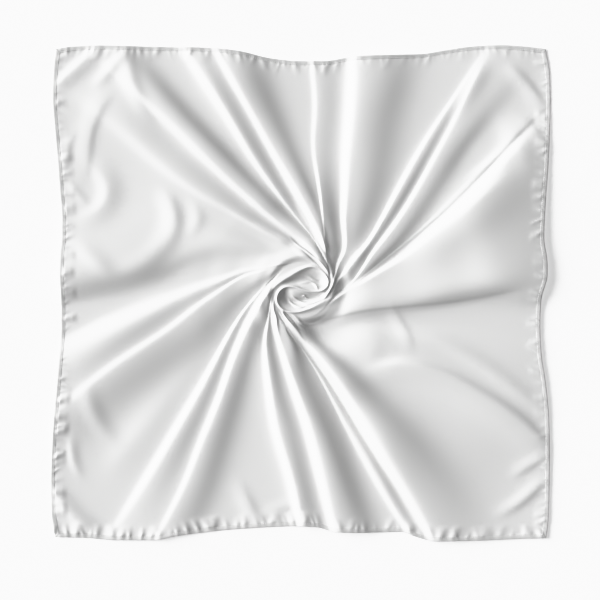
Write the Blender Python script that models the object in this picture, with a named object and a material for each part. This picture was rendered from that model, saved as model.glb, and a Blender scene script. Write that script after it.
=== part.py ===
"""Square satin scarf, spread flat with its middle gathered into a small twist.

One square of cloth, hemmed on four sides.  Its middle has been pinched up and
turned, so about seventeen folds run from the hems and wind clockwise into a
low round twist, whose top shows two hollows divided by an S-shaped lip.

Lengths are millimetres in the tables and metres in the meshes.  Plan places
are in divisions of the working grid, counted from the middle of the twist,
+X to the right and +Y away.  Z = 0 is the surface that the scarf lies on.
"""
import math

import bmesh
import bpy
import numpy as np

# ------------------------------------------------------------ driving sizes
CUT = 700.0            # mm, side of the square before it is laid and twisted
GRID = 1.32            # mm, one division of the working grid
SWIRL_R = 28.0         # divisions, the folds run in tangent to this circle
KNOB_R = 31.0          # divisions, where the spread cloth ends at the twist
TWIST_R = 36.0         # divisions, where the dome of the twist runs out
BLEND_IN, BLEND_OUT = 27.0, 35.0   # divisions, where the twist takes over
WALL = 1.2             # mm, cloth wall of the spread panel
HEM_WALL = 1.6         # mm, the edge turned over twice
HEM_WIDE = 5.5         # mm
GAP = 0.3              # mm, between pieces
REST_CUT = 0.45        # mm, folds lower than this lie on the surface
COLUMNS = {"top": 34, "left": 28, "bottom": 34, "right": 24}
RINGS = 13
KNOB_ALONG, KNOB_ACROSS = 30, 12
SET_R = 170.0          # divisions, the circle on which the columns are placed
LINE_GAP = 1.8         # degrees, between two slopes that the columns follow

# ------------------------------------------------------------- fold table
# Going round counter-clockwise the cloth climbs and drops over the folds.
# Each row is one such slope: its bearing in degrees where it crosses the
# R_AT circles, how many degrees it leans toward the FACING bearing (+) or
# away from it (-) there, and its width in degrees at the W_AT circles.  A bearing counts from
# +X and is straightened: the angle plus asin(SWIRL_R / radius), so a line
# tangent to the twist keeps one bearing.
R_AT = (36.0, 45.0, 55.0, 80.0, 105.0, 140.0, 190.0, 225.0, 275.0)
W_AT = (36.0, 55.0, 80.0, 140.0, 220.0)
FACING = 163.0         # degrees, the bearing that the leans are counted toward
REACH = 330.0          # divisions, where the last slopes have run out
TOWARD_LEAN = 0.45     # share of the listed lean that a toward slope takes
AWAY_LEAN = 0.78       # and an away slope
OUTER_EASE = 0.15      # how much gentler the away slopes get to the hems
STIFF = 0.008          # how firmly a slope keeps to its own climb beside others
TOWARD_TRUST = 0.015   # toward slopes give way, so that the cloth comes down again
# Slopes that keep their listed lean, however flat: beyond this radius, in divisions.
STILL = {"right_top": 20.0, "crease": 80.0, "strand": 80.0, "f9_toward": 95.0}
STILL_TRUST = 6.0      # and how firmly
TAIL_SHARE = 0.38      # of a facing slope's climb runs out softly to its sides
TAIL_WIDE = 3.2        # times as wide as the slope
TAIL_FROM = (70.0, 170.0)      # divisions, where the slopes begin to soften so
BALANCE = 300.0        # how closely the cloth comes down to the next field
TOWARD_SHARE = 0.38    # share of the listed width that a toward slope takes
AWAY_SHARE = 1.15      # and an away slope
BANDS = [
    # name           bearing at R_AT                                          lean at R_AT                              width at W_AT
    ("right_low",    (-10, -0.5, 2, 4, 5.6, 6.8, 7.8, 5.6, 5.6), (-16, -17, -18, -20, -20, -22, -19, -15, -3), (24, 14, 9.5, 5.8, 4.5)),
    ("right_top",    (22, 23, 24, 24, 24, 25.5, 28.5, 29, 32), (-0.1, -0.1, -0.1, -0.1, -1, -4, -7, -7, -4), (9, 9, 9, 8, 8)),
    ("right_crest",  (47, 40.5, 36, 34.7, 34.2, 36, 37.7, 39.3, 42), (24, 24, 24, 24, 22, 28, 20, 16, 0), (7, 6, 5, 5, 5.5)),
    ("crease",       (38, 38, 38, 38, 37.8, 38.2, 39.5, 40.6, 42), (0, 0, 0, -20, -30, -24, -14, 0, 0), (1, 1, 1, 0.9, 1)),
    ("strand",       (39, 39, 39, 39, 38.8, 39.4, 41, 41.8, 43), (0, 0, 0, 0, 0, 34, 30, 26, 0), (1.5, 1.5, 1.5, 1.6, 2)),
    ("f2_away",      (42, 41.5, 41, 40.3, 40.5, 44, 48, 49.3, 49.3), (0, 0, -10, -38, -40, -34, -33, -34, -16), (4, 4, 4, 5, 3.5)),
    ("f2_toward",    (43, 42, 43.5, 49, 49.6, 51.3, 54, 55, 57.5), (0, 0, 16, 22, 22, 22, 24, 24, 16), (4, 4, 4.5, 2.8, 1.7)),
    ("f3_away",      (57, 47.5, 52, 52, 52.6, 54.2, 56.2, 57, 57.6), (-31, -35, -31, -30, -34, -34, -24, -20, 0), (18, 9, 3, 3, 1.6)),
    ("f3_toward",    (66, 60.5, 60, 56, 57, 58.3, 59, 58.6, 58),              (-27, -12, 14, 22, 20, 22, 24, 20, 18),      (8, 9, 4.2, 3, 1.6)),
    ("f4_away",      (72, 71, 69.5, 65, 65, 67.6, 72.2, 72, 73), (-28, -20, -12, -26, -30, -34, -37, -40, -14), (12, 8, 10, 12, 7.5)),
    ("f4_toward",    (76, 76, 72, 80.5, 82, 83.7, 84, 84.5, 85), (0, 0, 6, 24, 24, 26, 26, 22, 10), (8, 8, 7, 5, 3.6)),
    ("f5_away",      (80, 80, 80, 87.5, 91.5, 91, 88.7, 89, 90), (-24, -32, -40, -46, -34, -12, -18, -18, 0), (12, 14, 12, 7, 5)),
    ("f5_toward",    (96, 96, 96, 96, 96.3, 97.3, 94.2, 95, 95),              (0, 0, 0, 10, 18, 26, 26, 20, 0),            (2.5, 2.5, 2.5, 3, 2.2)),
    ("f6_away",      (95, 95, 95, 98.5, 102.8, 106, 108.4, 109.5, 109.5), (0, 0, 0, -27, -29, -26, -32, -40, -8), (4, 4, 4.5, 5.5, 6)),
    ("f6_toward",    (91, 97, 102.5, 108.5, 111.3, 113.8, 115.2, 116, 116.5), (16, 22, 20, 22, 24, 24, 24, 22, 10),        (18, 11, 8, 4, 2.4)),
    ("f7_away",      (100, 104, 109.8, 114, 116.6, 118, 119, 119, 119), (0, 0, -20, -28, -27, -26, -24, -26, -10), (3, 3, 4, 5, 4.5)),
    ("f7_toward",    (101, 105, 111.7, 119, 121.4, 122.6, 122, 122.3, 122.5), (0, 0, 6, 22, 24, 26, 24, 24, 5),            (3, 2.5, 4, 3.7, 3.2)),
    ("f8_away",      (103, 108.3, 115, 124, 127.4, 129, 130.3, 131, 131), (-25, -35, -33, -30, -26, -29, -30, -30, -16), (8, 6, 6, 4, 3.3)),
    ("f8_toward",    (118, 126, 130, 134.5, 136, 136.7, 136.5, 136.5, 136.5), (20, 22, 24, 22, 24, 22, 24, 24, 20),        (22, 12, 6.5, 3.5, 3.5)),
    ("f9_away",      (131, 132, 137, 141.3, 142, 142, 141.3, 141, 140),       (-19, -8, -16, -18, -18, -17, -14, -10, 0),  (8, 4, 7, 8, 6)),
    ("f9_toward",    (146, 143.5, 145.5, 147.5, 148.2, 149, 147.8, 146, 145), (20, 19, 25, 26, 34, 34, 26, 24, 10), (20, 12, 6.5, 5, 7)),
    ("f10_away",     (170, 170, 170, 173, 175, 186.5, 187, 187.7, 188), (0, 0, -3, -9, -10, -15, -22, -24, -10), (14, 14, 13, 6.8, 6)),
    ("f10_toward",   (187, 190, 187.5, 192, 193.6, 196, 198, 199, 200),       (13, 13, 14, 22, 24, 18, 14, 16, 8),         (12, 10, 8, 9, 10)),
    ("f11_away",     (190, 190, 190.4, 196.3, 199.3, 202, 204.7, 206, 207), (0, 0, -6, -9, -9, -13, -14, -12, 0), (2, 2, 3, 6, 5)),
    ("f11_toward",   (194, 194, 193.5, 200, 203.6, 207.8, 209, 210, 212.5), (10, 12, 24, 28, 28, 28, 26, 26, 14), (5, 5, 6, 5, 4)),
    ("f12_away",     (213.5, 213, 213, 217, 219, 219, 216.5, 216.5, 217),     (-30, -31, -28, -24, -22, -19, -18, -18, -10), (15, 14, 16, 14, 9)),
    ("f12_toward",   (222, 224, 225.3, 229.3, 232.5, 235, 236.2, 236.8, 237), (0, 10, 20, 24, 28, 26, 26, 28, 12),         (6, 5, 5, 4, 3)),
    ("f13_away",     (226, 228, 229, 234, 237, 239.7, 241.2, 241.4, 241), (-10, -20, -24, -22, -22, -20, -20, -17, -5), (3, 3, 4.5, 4, 4)),
    ("f13_toward",   (233.7, 234.5, 236, 239, 241.6, 244.3, 245, 246, 245), (20, 17, 20, 26, 24, 22, 26, 20, 22), (14, 13, 7.5, 4, 2.1)),
    ("f14_away",     (255, 257, 251, 250, 251, 251.4, 251.9, 252, 250), (-47, -42, -28, -28, -30, -32, -32, -30, -20), (16, 16, 8, 7.6, 5.2)),
    ("f14_toward",   (258, 260, 259, 263, 266.8, 270, 275, 276, 277),         (0, 0, 0, 22, 24, 24, 26, 28, 5),            (6, 6, 7, 5, 3)),
    ("f15_away",     (259, 262, 265, 271, 273.3, 278.5, 279.3, 280, 280), (0, -20, -36, -32, -27, -25, -32, -32, 0), (8, 8, 6, 7.4, 4.4)),
    ("f15_toward",   (267, 273, 275, 279.7, 282, 284, 284, 284, 284),         (6, 13, 16, 24, 26, 22, 26, 28, 10),         (16, 10, 8, 6, 3)),
    ("f16_away",     (291, 293.5, 294.6, 292.8, 293.2, 293.8, 292.4, 292, 292), (-14, -34, -46, -38, -40, -42, -40, -36, -14), (6, 6, 11, 7.2, 5)),
    ("strand16",     (296, 297, 298, 300, 299.8, 299, 299, 299, 300),         (0, 0, 0, 18, 28, 26, 24, 24, 17),           (1.5, 1.5, 2.5, 2.6, 2.1)),
    ("f17_away",     (297, 298, 299.5, 302, 302.3, 301.9, 301.8, 301.7, 301), (0, 0, -10, -34, -40, -40, -38, -36, -10), (1.5, 1.5, 2, 1.9, 1.8)),
    ("f17_toward",   (300, 302, 304.6, 306, 305.7, 305, 304, 304, 303),       (24, 26, 26, 26, 34, 28, 26, 30, 12),        (15, 11, 9, 6, 3)),
    ("f18_away",     (326, 320, 317, 317.6, 317.4, 316, 315.8, 315, 312), (-34, -27, -24, -27, -30, -28, -28, -28, -15), (22, 7, 8, 9.5, 8)),
]
# Where the cloth comes down between the folds: bearing, and height in mm at
# the F_AT circles.
F_AT = (45.0, 55.0, 80.0, 105.0, 125.0, 140.0, 165.0, 190.0, 225.0, 280.0)
FIELDS = [
    # name        bearing  height at F_AT                                   level up to the next
    ("low_right", 358.0, (8, 8, 8, 7.6, 7.3, 7.1, 6.6, 6, 5, 2.5),          1),
    ("f3_f4",      61.5, (9.5, 8.5, 6, 4.5, 3.5, 3, 2.5, 2, 1.5, 0.8),      1),
    ("f4_f5",      86.5, (8.5, 7.5, 5.5, 4.5, 3.5, 3, 2.5, 2, 1.5, 0.8),    1),
    ("f5_f6",      99.5, (12, 12, 10.5, 7.5, 5, 4, 2.5, 2, 1.5, 0.8),       1),
    ("f7_f8",     125.5, (10, 8.5, 6, 4.5, 3.5, 3, 2.5, 2, 1.5, 0.8),       1),
    ("left",      154.0, (10, 9.5, 9, 8.5, 8, 7, 5, 3.5, 2, 1.0),           0),
    ("left_high", 166.0, (10.5, 11, 12, 11.5, 10, 8.5, 6.8, 5.2, 3.5, 1.5),    0),
    ("f10_f11",   190.0, (12, 10.5, 7.5, 5.0, 3.5, 3, 2.5, 2, 1.5, 0.8),       1),
    ("f12",       223.5, (5.5, 4.5, 3.8, 3.5, 3.2, 3, 2.5, 2, 1.5, 0.8),      1),
    ("f14",       259.0, (9.5, 8.5, 6, 4.5, 3.5, 3, 2.5, 2, 1.5, 0.8),      1),
    ("f16",       296.5, (8, 7.5, 6, 4.5, 3.5, 3, 2.5, 2, 1.5, 0.8),        1),
    ("bowl",      326.0, (2, 4, 9.5, 10.2, 10, 9.8, 9.2, 8.5, 7.4, 3),         0),
    ("bowl_end",  344.0, (2, 4.5, 10, 11.2, 11, 10.8, 10, 9, 7.5, 3.2),   0),
]
CONE_AT = (29.0, 36.0, 45.0, 55.0, 67.0, 80.0)
CONE = (13.0, 12.0, 11.0, 10.2, 9.3, 8.2)      # mean height in mm close to the twist
CONE_IN, CONE_OUT = 36.0, 60.0                 # divisions, from the mean to the fields

# ------------------------------------------------------------ laid outline
# Each side of the laid square: distance along the side and how far out it
# lies, in divisions from the middle of the twist.  The sides dip in between
# the corners because the twist has drawn the cloth in.
CORNERS = {"top_right": (244.0, 241.0), "top_left": (-246.0, 241.0),
           "bottom_left": (-247.0, -247.0), "bottom_right": (244.0, -248.0)}
SIDE_TOP = [      # x, y
    (-246, 241), (-229, 243.6), (-203, 244.5), (-162, 243.6), (-100, 242.3),
    (-65, 239), (-31, 231.6), (-3, 229), (22, 229), (50, 233.3), (75, 234.5),
    (118, 236), (144, 240), (170, 243.6), (196, 245), (222, 243.6), (244, 241)]
SIDE_LEFT = [     # y, x
    (-247, -247), (-225, -250.5), (-191, -251.3), (-165, -250.5), (-139, -249),
    (-105, -246), (-70, -243), (-36, -241), (-9, -241), (19, -242), (36, -241.4),
    (53, -240), (71, -240), (96, -242), (129, -244.5), (157, -247), (195, -249.6),
    (226, -248), (241, -246)]
SIDE_BOTTOM = [   # x, y
    (-247, -247), (-220, -247.6), (-186, -250), (-148, -250), (-126, -246),
    (-100, -242.5), (-65, -239), (-2, -236), (15, -237), (32, -241.6),
    (58, -242.5), (98, -241.8), (115, -247), (132, -251), (162, -250.7),
    (187, -250), (222, -248.5), (244, -248)]
SIDE_RIGHT = [    # y, x
    (-248, 244), (-234, 246), (-199, 247.3), (-165, 247.7), (-130, 247),
    (-96, 244), (-60, 239), (-36, 238), (-10, 239), (16, 245), (25, 245),
    (53, 241.7), (88, 243.4), (122, 246), (157, 247.7), (191, 248.5),
    (217, 247.7), (241, 244)]

# ---------------------------------------------------------- strands, creases
# Lips, strands and hollows laid over the folds.  Each path goes through
# points: place in divisions, height in mm (minus for a hollow), and how far
# it reaches to the left and to the right hand going along it, in mm.
STRANDS = [
    ("s_lip_top", [
        # x, y, height, left, right
        (-46, -21, 0.0, 4, 4), (-38, -9, 1.0, 4, 4), (-31, -0.5, 1.8, 4, 3), (-25.6, 5.0, 2.4, 4, 2.8),
        (-20, 9.0, 2.6, 4, 2.8), (-12.4, 12.8, 2.8, 4, 2.8), (-7.4, 16.2, 2.8, 4, 3.0), (-2, 19.6, 2.8, 3.2, 3.0),
        (4.5, 22.4, 2.8, 2.2, 2.8), (10, 23.2, 2.8, 2.2, 2.2), (15.8, 21.6, 2.8, 2.0, 1.8), (21, 17.8, 2.8, 1.8, 1.6),
        (24.8, 12.6, 2.8, 1.6, 1.6), (26.2, 7.8, 2.8, 1.6, 1.6), (24.6, 3.0, 2.8, 1.6, 1.8), (20, -0.6, 2.8, 1.8, 2.0),
        (14, -2.0, 2.8, 2.0, 2.0), (7, -1.8, 2.8, 2.0, 2.0), (0, 0.2, 2.6, 2.0, 2.0), (-6, 2.8, 1.4, 2.0, 2.0),
        (-11, 3.6, 0.2, 2.0, 2.0)]),
    ("s_lip_low", [
        (0, 0.2, 0.0, 2.0, 2.0), (-6, 2.8, 1.2, 2.0, 2.0), (-11, 3.6, 2.5, 2.0, 2.2), (-16, 3.0, 2.8, 2.0, 2.2),
        (-20.5, 0.6, 2.8, 2.0, 2.2), (-23.8, -3.4, 2.8, 1.8, 2.0), (-25.2, -8.4, 2.8, 1.8, 1.8), (-24.2, -13.6, 2.8, 1.8, 1.8),
        (-20.5, -18.4, 2.8, 1.8, 1.8), (-15, -21.4, 2.8, 1.8, 1.8), (-8.5, -22.2, 2.6, 1.8, 1.8), (-2, -21.6, 2.4, 1.8, 2.0),
        (4, -19.8, 2.2, 2.0, 2.4), (10, -17.6, 2.0, 2.2, 3.0), (18, -13.6, 1.6, 2.6, 4.0), (27, -9.8, 1.2, 3.0, 5.0),
        (38, -5.4, 0.6, 3.0, 5.0), (50, -1, 0.0, 3.0, 5.0)]),
    ("hollow_up", [
        (-19, 6.8, 0.0, 3.2, 3.2), (-13, 8.6, -3.4, 4.0, 4.0), (-5, 10.4, -5.6, 6.5, 5.5), (4, 12.0, -7.4, 9.0, 7.5),
        (12, 11.2, -9.2, 8.4, 7.4), (18, 9.4, -10.2, 5.6, 5.4), (20.4, 6.4, -6.0, 3.6, 3.6)]),
    ("hollow_low", [
        (-15, -1, -2.0, 4.5, 4.5), (-17.5, -6, -6.5, 8.0, 6.5), (-15, -10.5, -7.5, 8.0, 7.0), (-8, -12, -7.8, 8.0, 7.0),
        (0, -10.6, -8.2, 7.5, 6.8), (8, -8.2, -8.8, 6.0, 6.0), (15, -6.4, -9.0, 4.4, 4.4), (20, -5.2, -6.0, 3.0, 3.0)]),
    ("right_strand", [
        (15, 58, 0.0, 3.0, 5.0), (21.6, 42, 0.6, 2.6, 5.0), (26, 31, 1.2, 2.4, 4.5),
        (28.4, 23, 2.0, 2.2, 4.0), (30.6, 16, 2.6, 2.0, 3.4), (31.0, 9.4, 2.8, 1.8, 3.0), (29.6, 3.4, 2.8, 1.8, 2.6),
        (27.0, -1.6, 2.4, 1.8, 2.2), (23.6, -6.5, 1.0, 1.8, 2.0), (20.6, -10, 0.0, 1.8, 2.0)]),
    ("right_lip", [
        (-14, -22.0, 0.0, 2.4, 1.6), (-8.6, -25.2, 1.4, 2.4, 1.6), (-5.2, -28.5, 1.6, 2.6, 1.6), (-1.6, -32.4, 1.9, 2.8, 1.8),
        (2.5, -34.0, 1.6, 3.2, 2.0), (8, -34.0, 1.0, 3.6, 2.2), (15, -32.6, 0.5, 4.0, 2.4), (24, -30.5, 0.0, 4.0, 2.4)]),
    ("low_strand_a", [
        (-28.4, -9, 0.0, 1.8, 1.8), (-28.8, -14, 1.4, 1.8, 1.8), (-28.4, -20, 1.8, 1.8, 1.8), (-26.6, -25, 2.0, 1.8, 1.8),
        (-25.4, -30, 2.0, 2.0, 1.8), (-25.2, -35, 1.5, 2.4, 2.0), (-24.4, -41, 0.9, 2.4, 2.0), (-22.8, -49, 0.4, 2.4, 2.0),
        (-20, -58, 0.0, 2.4, 2.0)]),
    ("low_strand_b", [
        (-20.8, -19.0, 0.0, 1.6, 1.6), (-18.8, -22.8, 1.6, 1.6, 1.6), (-16.2, -27.2, 1.8, 1.6, 1.6), (-12.8, -31.6, 1.8, 1.7, 1.6),
        (-9.0, -35.6, 1.6, 1.8, 1.8), (-5, -40.5, 1.1, 2.0, 2.0), (-1, -47, 0.5, 2.0, 2.0), (4, -56, 0.0, 2.0, 2.0)]),
    ("end_high", [
        (150, 172, 0.0, 6, 11), (160, 188, 1.2, 7, 12), (169, 203, 2.1, 8, 12), (177, 216, 2.0, 8, 12), (183, 229, 0.0, 8, 12)]),
    ("end_low", [
        (160, 108, 0.0, 5, 9), (176, 118, 1.1, 6, 10), (191, 128, 2.0, 7, 10), (203, 137, 2.0, 7, 10), (212, 146, 0.0, 7, 10)]),
    ("corner_tl_a", [
        (-248, 196, 0.0, 7, 12), (-238, 210, 2.2, 7, 12), (-224, 223, 2.8, 7, 12), (-209, 236, 2.0, 7, 12), (-200, 246, 0.0, 7, 12)]),
    ("crest_tl", [
        (-146, 166, 0.0, 10, 8), (-160, 184, 1.6, 10, 9), (-168, 202, 2.4, 11, 10), (-173, 221, 2.4, 11, 10), (-176, 240, 1.4, 11, 10)]),
    ("ring_left", [
        (-214, 132, 0.0, 16, 10), (-201, 119, 2.0, 16, 11), (-193, 102, 3.0, 16, 12), (-197, 85, 2.4, 16, 11), (-211, 74, 1.4, 14, 10),
        (-228, 68, 0.0, 14, 9)]),
    ("crest_left", [
        (-142, 100, 0.0, 10, 12), (-132, 87, 2.2, 10, 12), (-127.5, 73, 2.9, 11, 13), (-129, 59, 2.6, 12, 14), (-139, 44, 2.2, 14, 15),
        (-156, 28, 2.0, 14, 15), (-175, 19, 1.2, 14, 14), (-192, 14, 0.0, 14, 12)]),
    ("hollow_left", [
        (-230, 50, 0.0, 13, 11), (-218, 40, 1.6, 13, 11), (-207, 31, 2.2, 13, 11), (-197, 23, 1.6, 12, 11), (-187, 15, 0.0, 12, 10)]),
    ("edge_bl", [
        (-216, -90, 0.0, 12, 12), (-213, -110, 1.6, 12, 12), (-206, -127, 2.3, 12, 12), (-196, -141, 1.6, 12, 12), (-184, -155, 0.0, 12, 12)]),
    ("corner_bl", [
        (-244, -184, 0.0, 13, 8), (-235, -202, 1.8, 13, 8), (-223, -217, 2.6, 13, 8), (-207, -229, 2.0, 13, 8), (-191, -238, 0.0, 13, 8)]),
    ("field_bl", [
        (-88, -68, 0.0, 22, 14), (-109.6, -87.2, 1.2, 26, 16), (-142.3, -125.9, 2.4, 30, 18), (-165, -153, 2.5, 30, 18),
        (-181, -172.4, 1.6, 30, 18), (-194, -186, 0.0, 28, 16)]),
    ("blob_bottom", [
        (-66, -188, 0.0, 9, 12), (-57, -208, 1.6, 9, 12), (-50, -222, 2.1, 9, 12), (-44, -233, 1.4, 8, 11), (-39, -243, 0.0, 8, 10)]),
    ("corner_br_b", [
        (192, -226, 0.0, 9, 7), (208, -218, 1.6, 9, 7), (222, -208, 2.1, 9, 7), (236, -195, 1.6, 9, 7), (246, -186, 0.0, 9, 7)]),
    ("bowl_arc", [
        (62, -84, 0.0, 11, 16), (82, -78, 2.4, 11, 18), (108, -76, 3.6, 11, 20), (144, -87, 4.0, 12, 24), (181, -107, 4.2, 13, 26),
        (216, -131, 4.2, 13, 26), (240, -154, 3.0, 12, 22)]),
]
TWIST_TOP, TWIST_RIM = 13.6, 12.0     # mm, the twist under its strands, middle and rim


def pchip(xs, ys):
    """Shape-preserving cubic through stations; gives back a function."""
    xs, ys = np.asarray(xs, float), np.asarray(ys, float)
    step = np.diff(xs)
    rate = np.diff(ys) / step
    slope = np.zeros_like(ys)
    for i in range(1, len(xs) - 1):
        if rate[i - 1] * rate[i] > 0:
            a, b = 2 * step[i] + step[i - 1], step[i] + 2 * step[i - 1]
            slope[i] = (a + b) / (a / rate[i - 1] + b / rate[i])
    slope[0], slope[-1] = rate[0], rate[-1]

    def value(x):
        x = np.clip(x, xs[0], xs[-1])
        i = np.clip(np.searchsorted(xs, x) - 1, 0, len(xs) - 2)
        t = (x - xs[i]) / step[i]
        return ((2 * t**3 - 3 * t**2 + 1) * ys[i] + (t**3 - 2 * t**2 + t) * step[i] * slope[i]
                + (3 * t**2 - 2 * t**3) * ys[i + 1] + (t**3 - t**2) * step[i] * slope[i + 1])
    return value


def smooth(a, b, x):
    t = np.clip((x - a) / (b - a), 0.0, 1.0)
    return t * t * (3 - 2 * t)


def bearing_of(x, y):
    """Radius in divisions and straightened bearing in degrees."""
    r = np.hypot(x, y)
    lean = np.degrees(np.arcsin(np.clip(SWIRL_R / np.maximum(r, 1e-6), 0, 1)))
    return r, np.degrees(np.arctan2(y, x)) + lean


def place_of(r, bearing):
    angle = np.radians(bearing) - np.arcsin(np.clip(SWIRL_R / r, 0, 1))
    return r * np.cos(angle), r * np.sin(angle)


LOG_AT = np.linspace(math.log(27.0), math.log(400.0), 520)     # rings the folds are worked out on


def eased(rows, reach):
    """Profiles along the radius with their corners rounded off."""
    step = LOG_AT[1] - LOG_AT[0]
    count = int(3 * reach / step)
    weight = np.exp(-0.5 * (np.arange(-count, count + 1) * step / reach)**2)
    weight = weight / weight.sum()
    rows = np.atleast_2d(rows)
    padded = np.pad(rows, ((0, 0), (count, count)), mode="edge")
    return np.array([np.convolve(row, weight, mode="valid") for row in padded])


def ring_place(r):
    """Where a radius falls among the rings: first of four, and their shares."""
    u = (np.log(np.clip(r, 27.5, 390.0)) - LOG_AT[0]) / (LOG_AT[1] - LOG_AT[0])
    k = np.clip(u.astype(int), 1, len(LOG_AT) - 3)
    t = u - k
    return k, (-0.5 * t + t**2 - 0.5 * t**3, 1 - 2.5 * t**2 + 1.5 * t**3,
               0.5 * t + 2 * t**2 - 1.5 * t**3, -0.5 * t**2 + 0.5 * t**3)


def at_ring(row, place):
    k, share = place
    return (row[k - 1] * share[0] + row[k] * share[1] + row[k + 1] * share[2]
            + row[k + 2] * share[3])


def slope_rows():
    """Each band's bearing, width and climb in mm on the rings.

    Neighbouring bands run into each other, so the climbs are found together:
    the cloth then leans as the table says at the middle of every band.
    """
    radii = np.maximum(np.exp(LOG_AT), SWIRL_R + 0.6)
    root = np.sqrt(radii**2 - SWIRL_R**2)
    facing_way = math.radians(FACING)
    count = len(BANDS)
    where, wide, want, trust = (np.zeros((count, len(radii))) for _ in range(4))
    for i, (name, bearing, lean, width) in enumerate(BANDS):
        where[i] = eased(pchip(R_AT, bearing)(radii), 0.10)[0]
        share = TOWARD_SHARE if sum(lean) > 0 else AWAY_SHARE
        wide[i] = eased(pchip(W_AT, width)(radii) * share, 0.10)[0]
        tilt = eased(pchip(R_AT + (REACH,), lean + (0.0,))(radii), 0.07)[0]
        angle = np.radians(where[i]) - np.arcsin(SWIRL_R / radii)
        out = math.degrees(1.0) * SWIRL_R / (radii * root) + np.gradient(where[i], radii + 1e-6 * LOG_AT)
        round_ = math.degrees(1.0) / radii
        gx = round_ * -np.sin(angle) - out * np.cos(angle)
        gy = round_ * np.cos(angle) - out * np.sin(angle)
        facing = -(gx * math.cos(facing_way) + gy * math.sin(facing_way)) / GRID
        full = np.hypot(gx, gy) / GRID
        side = np.where(np.sin(np.radians(where[i]) - facing_way) < 0, -1.0, 1.0)
        facing = side * np.maximum(side * facing, 0.36 * full)
        lean_share = TOWARD_LEAN if sum(lean) > 0 else AWAY_LEAN * (1 - OUTER_EASE * smooth(150.0, 240.0, radii))
        want[i] = np.tan(np.radians(tilt * lean_share)) / facing
        trust[i] = tilt**2 / (tilt**2 + 9.0) * (TOWARD_TRUST if sum(lean) > 0 else 1.0)
        if name in STILL:
            trust[i] += (STILL_TRUST - trust[i]) * smooth(0.75 * STILL[name], 1.15 * STILL[name], radii)
    stops = sorted(FIELDS, key=lambda row: row[1])
    level = np.array([pchip(F_AT, row[2])(radii) for row in stops])
    spans = [(a, (a + 1) % len(stops)) for a in range(len(stops)) if stops[a][3]]
    climb = np.zeros((count, len(radii)))
    for k in range(len(radii)):
        at, w = where[:, k], wide[:, k]
        off = np.mod(at[:, None] - at[None, :] + 180.0, 360.0) - 180.0
        mix = 1.0 / np.cosh(np.clip(1.7627 * off / w[None, :], -40.0, 40.0))**2
        left = (mix * trust[:, k][:, None]).T @ mix + STIFF * np.eye(count)
        right = (mix * trust[:, k][:, None]).T @ want[:, k] + STIFF * want[:, k]
        for a, b in spans:
            start, stop = stops[a][1], stops[b][1]
            arc = (stop - start) % 360.0
            first = np.mod(start - at + 180.0, 360.0) - 180.0
            part = 0.5 * (np.tanh(1.7627 * (first + arc) / w) - np.tanh(1.7627 * first / w))
            later = 0.5 * (np.tanh(1.7627 * (first + arc - 360.0) / w) - np.tanh(1.7627 * (first - 360.0) / w))
            row = (part + later) * w / 0.881 / arc
            rise = (level[b, k] - level[a, k]) / arc
            left = left + BALANCE * np.outer(row, row)
            right = right + BALANCE * row * rise
        climb[:, k] = np.linalg.solve(left, right) * w / 0.881
    climb = eased(climb, 0.06)
    return list(zip(where, wide, climb))


def steps(place, bearing):
    """Climbs added up round the ring, in mm, from bearing 0."""
    p = np.mod(bearing, 360.0)
    h, total = np.zeros(p.shape), np.zeros(p.shape)
    tail = at_ring(TAIL_SHARE * smooth(*TAIL_FROM, np.exp(LOG_AT)), place)
    for (where, wide, climb), row in zip(SLOPES, BANDS):
        at, w, c = at_ring(where, place), at_ring(wide, place), at_ring(climb, place)
        off = np.mod(p - at + 180.0, 360.0) - 180.0
        start = np.floor((p - at + 180.0) / 360.0)
        step = np.tanh(1.7627 * off / w)
        if sum(row[2]) > 0:
            step = step + tail * (np.tanh(1.7627 * off / (TAIL_WIDE * w)) - step)
        h = h + c * (0.5 * (1 + step) + start)
        total = total + c
    return h - total * p / 360.0


def level_rows():
    """What to add to the steps, at each field and each ring."""
    radii = np.exp(LOG_AT)
    around = np.arange(0.0, 360.0, 3.0)
    ring_r, ring_p = np.meshgrid(radii, around, indexing="ij")
    mean = steps(ring_place(ring_r), ring_p).mean(axis=1)
    cone = pchip(CONE_AT, CONE)(radii) - mean
    near = 1.0 - smooth(CONE_IN, CONE_OUT, radii)
    rows = []
    for _name, bearing, height, _hold in FIELDS:
        want = pchip(F_AT, height)(radii)
        have = steps(ring_place(radii), np.full(radii.shape, bearing))
        rows.append((bearing, near * cone + (1 - near) * (want - have)))
    rows.sort(key=lambda row: row[0])
    at = np.array([row[0] for row in rows])
    add = eased(np.array([row[1] for row in rows]), 0.07)
    # closed round the ring, with one spare at each end
    return (np.concatenate([at[-2:] - 360.0, at, at[:2] + 360.0]),
            np.concatenate([add[-2:], add, add[:2]]))


def folds(r, bearing):
    """Height in mm of the radial folds."""
    at, add = LEVELS
    place = ring_place(r)
    p = np.mod(bearing, 360.0)
    k = np.clip(np.searchsorted(at, p, side="right") - 1, 1, len(at) - 3)

    def value(index):
        ring, share = place
        return (add[index, ring - 1] * share[0] + add[index, ring] * share[1]
                + add[index, ring + 1] * share[2] + add[index, ring + 2] * share[3])

    v0, v1, v2, v3 = value(k - 1), value(k), value(k + 1), value(k + 2)
    x0, x1, x2, x3 = at[k - 1], at[k], at[k + 1], at[k + 2]
    width = x2 - x1
    t = (p - x1) / width
    m1, m2 = (v2 - v0) / (x2 - x0) * width, (v3 - v1) / (x3 - x1) * width
    level = ((2 * t**3 - 3 * t**2 + 1) * v1 + (t**3 - 2 * t**2 + t) * m1
             + (3 * t**2 - 2 * t**3) * v2 + (t**3 - t**2) * m2)
    return steps(place, bearing) + level


SLOPES = slope_rows()
LEVELS = level_rows()


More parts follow.
